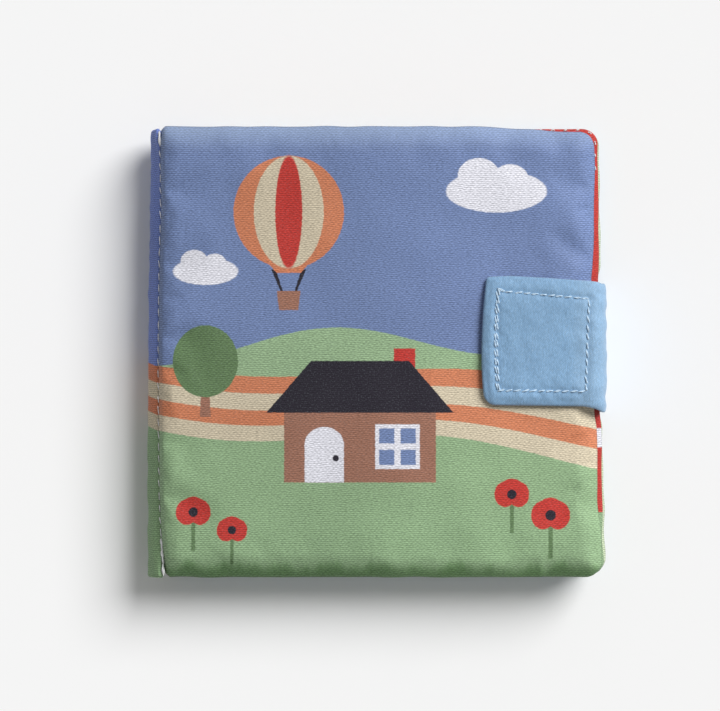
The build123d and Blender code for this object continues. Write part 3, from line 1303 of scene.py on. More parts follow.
@dataclass
class SpineStrip:
    """The strip outside the binding seam: printed cloth folded round the ends of all the panels."""

    left_x: float
    seam_x: float
    inner_x: float
    tail_y: float
    head_y: float
    bottom_z: float
    top_z: float
    line: SeamLine
    seed: int = 71

    def section(self, count: int = 40) -> tuple[Array, Array]:
        """The strip's outline in XZ, from the top seam over the fold to the bottom seam and back inside.

        Returns:
            X and Z of its points.
        """
        reach = self.seam_x - self.left_x
        middle = (self.top_z + self.bottom_z) / 2
        half = (self.top_z - self.bottom_z) / 2
        angle = np.linspace(math.pi / 2, 3 * math.pi / 2, count)
        x = self.seam_x + reach * np.sign(np.cos(angle)) * np.abs(np.cos(angle)) ** 1.8
        z = middle + half * np.sin(angle)
        inside_x = np.array([self.inner_x, self.inner_x, self.inner_x])
        inside_z = np.array([self.bottom_z + 0.2 * MM, middle, self.top_z - 0.2 * MM])
        return np.concatenate([x, inside_x]), np.concatenate([z, inside_z])

    def build(self) -> bpy.types.Object:
        """Build the strip's mesh.

        Returns:
            The closed strip.
        """
        x, z = self.section()
        length = self.head_y - self.tail_y
        y = self.tail_y + length * stations(length, 4 * MM, 0.5 * MM, 1.0 * MM)
        yy, xx = np.meshgrid(y, x, indexing="ij")
        zz = np.broadcast_to(z, xx.shape).copy()
        fold = smooth(self.seam_x - xx, 0, 2.5 * MM)
        broad, narrow = Ripple(0.12 * MM, 14 * MM, self.seed), Ripple(0.06 * MM, 5 * MM, self.seed + 1)
        xx = xx + fold * (broad.at(yy, zz) + narrow.at(yy, zz))
        lean = 0.8 * MM * smooth(yy, 0.0, 0.075) * fold
        xx = xx + lean + self.line.at(yy) * (1 - smooth(self.seam_x - xx, 0, 3.5 * MM))
        stitch_pull = np.abs(np.sin(math.pi * yy / (4.1 * MM)))
        near_top = bell(xx - self.seam_x, 1.2 * MM) * np.sign(zz - (self.top_z + self.bottom_z) / 2)
        zz = zz - 0.22 * MM * near_top * (0.4 + 0.6 * stitch_pull)
        end = np.minimum(yy - self.tail_y, self.head_y - yy)
        inner = smooth(xx, self.seam_x - 3.5 * MM, self.inner_x)
        head_pull = 1.4 * MM * smooth(yy - self.head_y, -9 * MM, -3 * MM)
        tail_pull = 1.7 * MM * smooth(self.tail_y - yy, -12 * MM, -4 * MM)
        xx = xx - inner * (head_pull + tail_pull)
        squeeze = 1 - 0.22 * (1 - crown(end, 0.9 * MM))
        middle_z = (self.top_z + self.bottom_z) / 2
        zz = middle_z + (zz - middle_z) * squeeze
        xx = self.inner_x + (xx - self.inner_x) * (1 - 0.08 * (1 - crown(end, 0.9 * MM)))
        index = np.arange(xx.size).reshape(xx.shape)
        faces = ring_faces(index)[:, ::-1]
        girth = np.cumsum(np.concatenate([[0], np.hypot(np.diff(x), np.diff(z))]))
        flat = np.stack([np.broadcast_to(self.seam_x - girth, xx.shape), yy], -1).reshape(-1, 2)
        points = np.stack([xx, yy, zz], -1).reshape(-1, 3)
        ends = [index[0], index[-1, ::-1]]
        return mesh_object("spine_strip", points, [*faces, *ends], flat)


class Tape(Enum):
    """The two halves of the tab's touch fastener: how far each bristle curls over, and how much it turns."""

    HOOK = (0.74, 0.18)
    LOOP = (1.0, 0.9)


@dataclass
class TapePatch:
    """A square of fastener tape: a woven ground with rows of small hooks or loops standing on it."""

    kind: Tape
    low: Array
    high: Array
    up: float
    ground: float = 0.35 * MM
    corner: float = 2.0 * MM
    rim: float = 0.5 * MM
    margin: float = 1.2 * MM
    pitch: float = 1.25 * MM
    wire: float = 0.085 * MM
    span: float = 0.36 * MM
    seed: int = 91

    GROUND_POINTS = (48, 50)
    WEAVE = Ripple(0.04 * MM, 1.6 * MM, 92)
    STRAY_X, STRAY_Y = 0.25, 0.15
    BRISTLE_POINTS, BRISTLE_POWER = 6, 0.7
    WIRE_ANGLES = (0.0, 2.1, 4.2)

    def bristles(self) -> Line:
        """Stand every hook or loop on the ground.

        Returns:
            Points and faces of them all.
        """
        rng = np.random.default_rng(self.seed)
        across = np.arange(self.low[0] + self.margin, self.high[0] - self.margin, self.pitch)
        along = np.arange(self.low[1] + self.margin, self.high[1] - self.margin, self.pitch)
        px, py = (grid.ravel() for grid in np.meshgrid(across, along))
        count = len(px)
        px = px + rng.uniform(-self.STRAY_X, self.STRAY_X, count) * MM
        py = py + rng.uniform(-self.STRAY_Y, self.STRAY_Y, count) * MM
        curl, stray = self.kind.value
        turn = rng.normal(0, stray, count)
        reach = self.high[2] - self.low[2] - self.ground - self.wire
        root = self.low[2] + self.ground if self.up > 0 else self.high[2] - self.ground
        sweep = np.linspace(0, math.pi * curl, self.BRISTLE_POINTS)
        along_arc = -np.cos(sweep) * self.span
        rise = np.sin(sweep) ** self.BRISTLE_POWER * reach
        x = px[:, None] + np.cos(turn)[:, None] * along_arc
        y = py[:, None] + np.sin(turn)[:, None] * along_arc
        core = np.stack([x, y, np.broadcast_to(root + self.up * rise, x.shape)], -1)
        side = np.stack([-np.sin(turn), np.cos(turn), np.zeros(count)], -1)[:, None]
        ahead = np.stack([np.cos(turn), np.sin(turn), np.zeros(count)], -1)[:, None]
        out = ahead * -np.cos(sweep)[None, :, None]
        out[..., 2] = self.up * np.sin(sweep)
        rings = [core + self.wire * (math.cos(a) * side + math.sin(a) * out) for a in self.WIRE_ANGLES]
        points = np.stack(rings, 2).reshape(-1, 3)
        index = np.arange(len(points)).reshape(count, len(sweep), len(rings))
        return points, ring_faces(index)

    def build(self, name: str) -> bpy.types.Object:
        """Build the patch's mesh.

        Args:
            name: Name of the piece.

        Returns:
            The ground and its bristles as one object.
        """
        shares = (np.linspace(0, 1, count) for count in self.GROUND_POINTS)
        x, y, edge = rounded_box(*shares, self.low, self.high, self.corner)
        rim = crown(edge, self.rim) * self.ground / 2
        middle = self.low[2] + self.ground / 2 if self.up > 0 else self.high[2] - self.ground / 2
        weave = self.WEAVE.at(x, y)
        upper, lower = (np.stack([x, y, middle + side * rim + weave], -1) for side in (1, -1))
        sewn = rim_mask(*x.shape)
        lower[sewn] = upper[sewn]
        ground = two_sheets(name, upper, lower, upper[..., :2])
        points, faces = self.bristles()
        wires = mesh_object(f"{name}_wires", points, faces, points[:, :2])
        with bpy.context.temp_override(active_object=ground, selected_editable_objects=[ground, wires]):
            bpy.ops.object.join()
        return ground


@dataclass
class FingerPuppet:
    """The plush finger puppet, pressed flat: a finger sleeve, a round head, two ears and a sewn face."""

    centre_x: float
    foot_y: float
    bottom_z: float
    top_z: float
    sleeve_half: float = 17.0 * MM
    sleeve_length: float = 52.0 * MM
    sleeve_round: float = 4 * MM
    head_radius: float = 18.0 * MM
    head_lift: float = 0.75 * MM
    head_round: float = 7 * MM
    ear_radius: float = 7.5 * MM
    ear_spread: float = 14.5 * MM
    ear_rise: float = 13.0 * MM
    ear_lift: float = 0.2 * MM
    ear_round: float = 3.5 * MM
    button_seat: float = 0.12 * MM

    PILE, PILE_REACH = (Ripple(0.10 * MM, 2.6 * MM, 61), Ripple(0.06 * MM, 1.2 * MM, 62)), 1.5 * MM
    RAY_FALL, RAY_REACH, RAY_POINTS, RAYS = 6 * MM, 70 * MM, 700, 220
    RINGS, RING_START, RING_POWER = 40, 0.02, 1.6
    BUTTON_RAYS, BUTTON_RINGS, BUTTON_START = 40, 12, 0.06
    TURNED_OVER = [0, 3, 2, 1]

    @property
    def head_y(self) -> float:
        """Middle of the head."""
        return self.foot_y + self.sleeve_length

    @property
    def middle_z(self) -> float:
        """Middle of the pressed plush."""
        return (self.top_z + self.bottom_z) / 2

    def parts(self, x: Array, y: Array) -> list[Array]:
        """Signed distances inside the sleeve, the head and the two ears.

        Args:
            x: X of each place.
            y: Y of each place.

        Returns:
            One array a part, positive inside it.
        """
        sleeve_x = np.abs(x - self.centre_x) - self.sleeve_half
        sleeve_y = np.abs(y - self.foot_y - self.sleeve_length / 2) - self.sleeve_length / 2
        outside = np.hypot(np.maximum(sleeve_x, 0), np.maximum(sleeve_y, 0))
        sleeve = -(outside + np.minimum(np.maximum(sleeve_x, sleeve_y), 0))
        head = self.head_radius - np.hypot(x - self.centre_x, y - self.head_y)
        ear_y = y - self.head_y - self.ear_rise
        ears = [
            self.ear_radius - np.hypot(x - self.centre_x - side * self.ear_spread, ear_y) for side in (-1, 1)
        ]
        return [sleeve, head, *ears]

    def inside(self, x: Array, y: Array) -> Array:
        """Distance inside the whole puppet's outline, negative outside it."""
        return np.max(self.parts(x, y), axis=0)

    def height(self, x: Array, y: Array) -> Array:
        """Height of the plush above its middle: each part is a soft pad, with a crease where two meet."""
        rise = (self.top_z - self.bottom_z) / 2
        sleeve, head, *ears = self.parts(x, y)
        pads = [rise * crown(sleeve, self.sleeve_round)]
        pads += [(rise + self.head_lift) * crown(head, self.head_round)]
        pads += [(rise + self.ear_lift) * crown(ear, self.ear_round) for ear in ears]
        return np.max(pads, axis=0)

    def build(self) -> bpy.types.Object:
        """Build the plush body.

        Returns:
            The closed body.
        """
        angles = np.linspace(0, 2 * math.pi, self.RAYS, endpoint=False)
        middle_y = self.head_y - self.RAY_FALL
        reach = np.linspace(0, self.RAY_REACH, self.RAY_POINTS)
        ray_x = self.centre_x + np.outer(np.cos(angles), reach)
        ray_y = middle_y + np.outer(np.sin(angles), reach)
        within = self.inside(ray_x, ray_y) > 0
        last = reach[within.shape[1] - 1 - np.argmax(within[:, ::-1], axis=1)]
        shares = 1 - (1 - np.linspace(self.RING_START, 1, self.RINGS)) ** self.RING_POWER
        x = self.centre_x + np.outer(shares, last * np.cos(angles))
        y = middle_y + np.outer(shares, last * np.sin(angles))
        pile = (self.PILE[0].at(x, y) + self.PILE[1].at(x, y)) * crown(self.inside(x, y), self.PILE_REACH)
        height = self.height(x, y)
        flat_half = (self.top_z - self.bottom_z) / 2
        upper = np.stack([x, y, self.middle_z + height + pile], -1).reshape(-1, 3)
        lower = np.stack([x, y, self.middle_z - np.minimum(height, flat_half)], -1)
        index = np.arange(x.size).reshape(x.shape)
        below = index.copy()
        below[:-1] = x.size + index[:-1]
        points = np.concatenate([upper, lower[:-1].reshape(-1, 3)])
        sides = [*ring_faces(index)[:, self.TURNED_OVER], *ring_faces(below)]
        return mesh_object("finger_puppet_plush", points, [*sides, index[0], below[0, ::-1]], points[:, :2])

    def button(self, name: str, x: float, y: float, rx: float, ry: float, rise: float) -> bpy.types.Object:
        """A soft dome sewn on the plush.

        Args:
            name: Name of the piece.
            x: Its middle, from the puppet's middle line.
            y: Its middle, from the middle of the head.
            rx: Half its width.
            ry: Half its height.
            rise: How far it stands off the plush.

        Returns:
            The closed dome.
        """
        angles = np.linspace(0, 2 * math.pi, self.BUTTON_RAYS, endpoint=False)
        shares = np.sin(np.linspace(self.BUTTON_START, 1, self.BUTTON_RINGS) * math.pi / 2)
        px = self.centre_x + x + np.outer(shares, rx * np.cos(angles))
        py = self.head_y + y + np.outer(shares, ry * np.sin(angles))
        seat = self.middle_z + self.height(px, py) - self.button_seat
        dome = (rise + self.button_seat) * np.sqrt(1 - shares[:, None] ** 2)
        points = np.stack([px, py, seat + dome], -1).reshape(-1, 3)
        index = np.arange(px.size).reshape(px.shape)
        sides = ring_faces(index)[:, self.TURNED_OVER]
        return mesh_object(name, points, [*sides, index[0], index[-1, ::-1]], points[:, :2])


@dataclass
class PuppetPocket:
    """The pocket on the first leaf: a sheet sewn down on three sides, with a turned hem at its open head."""

    low: Array
    high: Array
    puppet: FingerPuppet
    corner: float = 3.0 * MM
    hem: float = 5.0 * MM
    hem_rise: float = 0.12 * MM
    hem_seam: float = 0.7 * MM
    hem_end: float = 2 * MM
    seam_inset: float = 1.3 * MM
    open_inset: float = 0.6 * MM
    outer_half: float = 0.30 * MM
    inner_half: float = 0.28 * MM
    rim: float = 0.9 * MM

    OVER, OVER_REACHES = 0.28 * MM, (-6 * MM, 4 * MM)
    DRAWN, DRAWN_REACH = 0.22 * MM, 0.8 * MM
    SLACK, SLACK_REACH = Ripple(0.10 * MM, 15 * MM, 66), 4 * MM
    HEM_REACHES, HEM_GROOVE = (-0.2 * MM, 0.3 * MM), 0.5 * MM
    SIDE_MARGIN, END_MARGIN, FINE, STEP = 3 * MM, 6 * MM, 0.35 * MM, 0.9 * MM
    SEAM_POINTS = 60

    def lie(self, x: Array, y: Array) -> Array:
        """Height of the sheet's middle: it swells over the sleeve and is drawn down along its seam."""
        middle = (self.low[2] + self.high[2]) / 2
        over = self.OVER * smooth(self.puppet.parts(x, y)[0], *self.OVER_REACHES)
        side = np.minimum(np.minimum(x - self.low[0], self.high[0] - x), y - self.low[1])
        drawn = self.DRAWN * bell(side - self.seam_inset, self.DRAWN_REACH)
        slack = self.SLACK.at(x, y) * smooth(side, 0, self.SLACK_REACH)
        return middle + over - drawn + slack

    def outer(self, x: Array, y: Array) -> Array:
        """Height of the sheet's upper side."""
        edge = inside_box(x, y, self.low, self.high)
        hem_line = self.high[1] - y - self.hem
        turned = self.hem_rise * (1 - smooth(hem_line, *self.HEM_REACHES))
        turned = turned - self.hem_rise * bell(hem_line, self.HEM_GROOVE)
        return self.lie(x, y) + self.outer_half * crown(edge, self.rim) + turned

    def build(self) -> bpy.types.Object:
        """Build the sheet's mesh.

        Returns:
            The closed sheet.
        """
        width, height = self.high[0] - self.low[0], self.high[1] - self.low[1]
        across = stations(width, self.SIDE_MARGIN, self.FINE, self.STEP)
        along = stations(height, self.END_MARGIN, self.FINE, self.STEP)
        x, y, edge = rounded_box(across, along, self.low, self.high, self.corner)
        upper = np.stack([x, y, self.outer(x, y)], -1)
        lower = np.stack([x, y, self.lie(x, y) - self.inner_half * crown(edge, self.rim)], -1)
        sewn = rim_mask(*x.shape)
        lower[sewn] = upper[sewn]
        return two_sheets("puppet_pocket_sheet", upper, lower, upper[..., :2])

    def seam_lines(self) -> list[Line]:
        """Lines of its thread: two sides, the foot and the hem.

        Returns:
            Each line's points and normals.
        """
        left, right = self.low[0] + self.seam_inset, self.high[0] - self.seam_inset
        tail, head = self.low[1] + self.seam_inset, self.high[1] - self.open_inset
        hem = self.high[1] - self.hem + self.hem_seam
        corners = [(left, head), (left, tail), (right, tail), (right, head)]
        hem_run = ((left + self.hem_end, hem), (right - self.hem_end, hem))
        lines = []
        for first, last in [*zip(corners, corners[1:]), hem_run]:
            plan = np.linspace(first, last, self.SEAM_POINTS)
            points = np.column_stack([plan, self.outer(plan[:, 0], plan[:, 1])])
            lines.append((points, upright(len(points))))
        return lines


@dataclass(frozen=True)
class PlushFinish:
    """Short pile fabric."""

    name: str
    ink: Ink
    dark: float = 0.52
    light: float = 1.18
    relief: float = 0.35 * MM
    sheen: float = 0.5

    TUFT_SCALE, HAIR_SCALE = 1.1, 2.2
    HAIR_STRETCH_X, HAIR_STRETCH_Y = 3.2, 1.2
    TUFT_SHARE, HEIGHTS = 1.4, (0.8, 1.7)

    def material(self) -> bpy.types.Material:
        """Build the node material.

        Returns:
            The material.
        """
        bench = Bench(self.name)
        x, y = bench.cloth()
        tuft = bench.noise(bench.place(x, y), self.TUFT_SCALE, 4.0)
        hair_x = bench.math("MULTIPLY", x, self.HAIR_STRETCH_X)
        hair_y = bench.math("MULTIPLY", y, self.HAIR_STRETCH_Y)
        hair = bench.noise(bench.place(hair_x, hair_y), self.HAIR_SCALE, 3.0)
        height = bench.math("MULTIPLY_ADD", tuft, self.TUFT_SHARE, hair)
        shade = bench.ramp(height, *self.HEIGHTS)
        colour = bench.mix(shade, self.ink.shade(self.dark), self.ink.shade(self.light))
        return bench.finish(colour, bench.vary(tuft, 0.95, 0.8, 0.3), height, self.relief, self.sheen)


@dataclass(frozen=True)
class TapeFinish:
    """Woven nylon tape."""

    name: str
    ink: Ink
    rib: float = 0.6
    grain_scale: float = 3.0
    dark: float = 0.72
    relief: float = 0.06 * MM
    sheen: float = 0.1

    def material(self) -> bpy.types.Material:
        """Build the node material.

        Returns:
            The material.
        """
        bench = Bench(self.name)
        x, y = bench.cloth()
        rows = bench.math("ABSOLUTE", bench.math("SINE", bench.math("MULTIPLY", y, math.pi / self.rib)))
        grain = bench.noise(bench.place(x, y), self.grain_scale)
        shade = bench.math("MULTIPLY_ADD", rows, 0.5, bench.math("MULTIPLY", grain, 0.5), clamp=True)
        colour = bench.mix(shade, self.ink.shade(self.dark), self.ink.linear)
        return bench.finish(colour, bench.vary(grain, 0.45, 0.6, 0.3), rows, self.relief, self.sheen)


@dataclass(frozen=True)
class BeadFinish:
    """Smooth dark plastic or embroidery for eyes and nose."""

    name: str
    ink: Ink
    grain_scale: float = 1.6
    light: float = 1.6
    lift: float = 0.004
    relief: float = 0.01 * MM

    def material(self) -> bpy.types.Material:
        """Build the node material.

        Returns:
            The material.
        """
        bench = Bench(self.name)
        grain = bench.noise(bench.place(*bench.cloth()), self.grain_scale)
        lighter = self.ink.shade(self.light, self.lift)
        colour = bench.mix(bench.ramp(grain, 0.35, 0.7), self.ink.linear, lighter)
        return bench.finish(colour, bench.vary(grain, 0.22, 0.34), grain, self.relief, 0.0)


class Print:
    """The shapes printed on the cloth, in millimetres on the front cover's own X and Y."""

    LAND = (
        Hill(Ink.HILL, 3.0, 5.5, 118.0, 2.4, 0.03),
        Hill(Ink.ORANGE, -7.5, 3.0, 150.0, 0.3, -0.05),
        Hill(Ink.CREAM, -13.5, 3.2, 150.0, 0.4, -0.06),
        Hill(Ink.ORANGE, -19.5, 3.4, 150.0, 0.5, -0.07),
        Hill(Ink.CREAM, -25.0, 3.6, 150.0, 0.6, -0.08),
        Hill(Ink.MEADOW, -30.5, 4.0, 150.0, 0.7, -0.09),
    )

    @staticmethod
    def cloud(x: float, y: float, size: float) -> tuple[Motif, ...]:
        """A small cloud of three ellipses."""
        return (
            Disc(Ink.WHITE, x, y, size, 0.42 * size),
            Disc(Ink.WHITE, x - 0.35 * size, y + 0.30 * size, 0.42 * size, 0.36 * size),
            Disc(Ink.WHITE, x + 0.28 * size, y + 0.24 * size, 0.36 * size, 0.30 * size),
        )

    @staticmethod
    def balloon(x: float, y: float, size: float) -> tuple[Motif, ...]:
        """A striped balloon with its basket."""
        neck = y - 1.02 * size
        return (
            Slab(Ink.CHARCOAL, x, neck - 0.42 * size, neck, 0.26 * size, 0.62 * size),
            Slab(Ink.SKY, x, neck - 0.42 * size, neck + 0.1 * size, 0.18 * size, 0.52 * size),
            Slab(Ink.ORANGE, x, neck - 0.06 * size, y - 0.3 * size, 0.42 * size, 1.84 * size),
            Disc(Ink.ORANGE, x, y, 0.98 * size, size),
            Disc(Ink.CREAM, x, y, 0.62 * size, size),
            Disc(Ink.RED, x, y, 0.24 * size, size),
            Slab(Ink.BROWN, x, neck - 0.72 * size, neck - 0.38 * size, 0.34 * size, 0.42 * size),
        )

    @staticmethod
    def tree(x: float, foot: float, size: float) -> tuple[Motif, ...]:
        """A round tree."""
        return (
            Slab(Ink.BROWN, x, foot, foot + size, 0.34 * size, 0.24 * size),
            Disc(Ink.LEAF_GREEN, x, foot + 1.7 * size, size, 1.1 * size),
        )

    @staticmethod
    def poppy(x: float, y: float, size: float) -> tuple[Motif, ...]:
        """A red poppy on its stem."""
        return (
            Slab(Ink.LEAF_GREEN, x, y - 2.6 * size, y, 0.26 * size, 0.26 * size),
            Disc(Ink.RED, x - 0.45 * size, y, 0.72 * size, 0.85 * size),
            Disc(Ink.RED, x + 0.45 * size, y, 0.72 * size, 0.85 * size),
            Disc(Ink.RED, x, y + 0.35 * size, 0.8 * size, 0.7 * size),
            Disc(Ink.CHARCOAL, x, y, 0.32 * size, 0.32 * size),
        )

    @staticmethod
    def cottage(x: float, foot: float, size: float) -> tuple[Motif, ...]:
        """A cottage with a dark roof, a white door and a window with four panes."""
        eaves = foot + 0.78 * size
        window_x, window_y = x + 0.42 * size, foot + 0.40 * size
        panes = tuple(
            Slab(Ink.SKY, window_x + i * 0.12 * size, window_y + j * 0.12 * size - 0.085 * size,
                 window_y + j * 0.12 * size + 0.085 * size, 0.17 * size, 0.17 * size)
            for i in (-1, 1) for j in (-1, 1)
        )
        return (
            Slab(Ink.RED, x + 0.5 * size, eaves, eaves + 0.72 * size, 0.24 * size, 0.24 * size),
            Slab(Ink.BROWN, x, foot, eaves + 0.05 * size, 1.7 * size, 1.7 * size),
            Slab(Ink.CHARCOAL, x, eaves, eaves + 0.58 * size, 2.1 * size, 1.1 * size),
            Slab(Ink.WHITE, x - 0.4 * size, foot, foot + 0.42 * size, 0.44 * size, 0.44 * size),
            Disc(Ink.WHITE, x - 0.4 * size, foot + 0.42 * size, 0.22 * size, 0.20 * size),
            Disc(Ink.CHARCOAL, x - 0.27 * size, foot + 0.27 * size, 0.035 * size, 0.035 * size),
            Slab(Ink.WHITE, window_x, window_y - 0.25 * size, window_y + 0.25 * size, 0.5 * size, 0.5 * size),
            *panes,
        )

    @classmethod
    def front(cls) -> tuple[Motif, ...]:
        """The front cover: balloon and clouds over rolling fields, a cottage, a tree and poppies."""
        return (
            *cls.cloud(40.0, 54.0, 17.0), *cls.cloud(-58.0, 27.0, 11.0),
            *cls.balloon(-30.0, 47.0, 19.0),
            *cls.LAND,
            *cls.tree(-58.0, -22.0, 11.0),
            *cls.cottage(-6.0, -44.0, 30.0),
            *cls.poppy(45.0, -48.0, 5.0), *cls.poppy(58.0, -55.0, 5.6),
            *cls.poppy(-62.0, -54.0, 5.0), *cls.poppy(-49.0, -60.0, 4.4),
        )

    @classmethod
    def back(cls) -> tuple[Motif, ...]:
        """The back cover: the same fields under small clouds."""
        return (
            *cls.cloud(-36.0, 48.0, 14.0), *cls.cloud(30.0, 34.0, 10.0),
            *cls.LAND, *cls.tree(36.0, -30.0, 13.0), *cls.tree(52.0, -36.0, 9.0),
        )


@dataclass
class Studio:
    """The pale floor, the soft light from the head and fore side, and the camera over the book."""

    pixel: float = 0.3366 * MM
    image_width: int = 720
    book_centre_px: tuple[float, float] = (377.8, 351.5)
    image_centre_px: tuple[float, float] = (360.0, 355.5)
    top_z: float = 24.0 * MM
    distance: float = 0.80
    tilt: float = math.radians(1.6)
    sensor: float = 36.0
    sun_turn: float = math.radians(42.5)
    sun_height: float = math.radians(41.5)
    sun_size: float = math.radians(36)
    sun_share: float = 0.70
    sky_share: float = 0.30
    floor_tone: float = 0.915
    floor_half: float = 2.0

    def floor(self) -> None:
        """Lay the floor."""
        half = self.floor_half
        mesh = bpy.data.meshes.new("floor")
        corners = [(-half, -half, 0), (half, -half, 0), (half, half, 0), (-half, half, 0)]
        mesh.from_pydata(corners, [], [(0, 1, 2, 3)])
        floor = link("floor", mesh)
        bench = Bench("floor_paper")
        shader = bench.node("ShaderNodeBsdfDiffuse")
        shader.inputs["Color"].default_value = (self.floor_tone, self.floor_tone, self.floor_tone, 1)
        bench.feed(bench.node("ShaderNodeOutputMaterial").inputs["Surface"], shader.outputs[0])
        mesh.materials.append(bench.material)

    def light(self) -> None:
        """Hang one broad sun and an even sky, which together light a level face at its own colour."""
        lamp = bpy.data.lights.new("window_light", "SUN")
        lamp.energy = self.sun_share * math.pi / math.sin(self.sun_height)
        lamp.angle = self.sun_size
        sun = link("window_light", lamp)
        sun.rotation_euler = (0, math.pi / 2 - self.sun_height, self.sun_turn)
        world = bpy.data.worlds.new("studio")
        world.use_nodes = True
        backdrop = world.node_tree.nodes["Background"]
        backdrop.inputs["Color"].default_value = (1, 1, 1, 1)
        backdrop.inputs["Strength"].default_value = self.sky_share
        bpy.context.scene.world = world

    def camera(self) -> None:
        """Set the camera over the book, at the photograph's scale and framing."""
        shift_x = (self.image_centre_px[0] - self.book_centre_px[0]) * self.pixel
        shift_y = (self.book_centre_px[1] - self.image_centre_px[1]) * self.pixel
        target = Vector((shift_x, shift_y, self.top_z))
        data = bpy.data.cameras.new("camera")
        data.sensor_width = self.sensor
        data.lens = data.sensor_width * self.distance / (self.image_width * self.pixel)
        camera = link("camera", data)
        camera.location = target + self.distance * Vector((0, -math.sin(self.tilt), math.cos(self.tilt)))
        camera.rotation_euler = (self.tilt, 0, 0)
        bpy.context.scene.camera = camera

    def build(self) -> None:
        """Set the whole stage."""
        self.floor()
        self.light()
        self.camera()
        bpy.context.scene.view_settings.view_transform = "Standard"


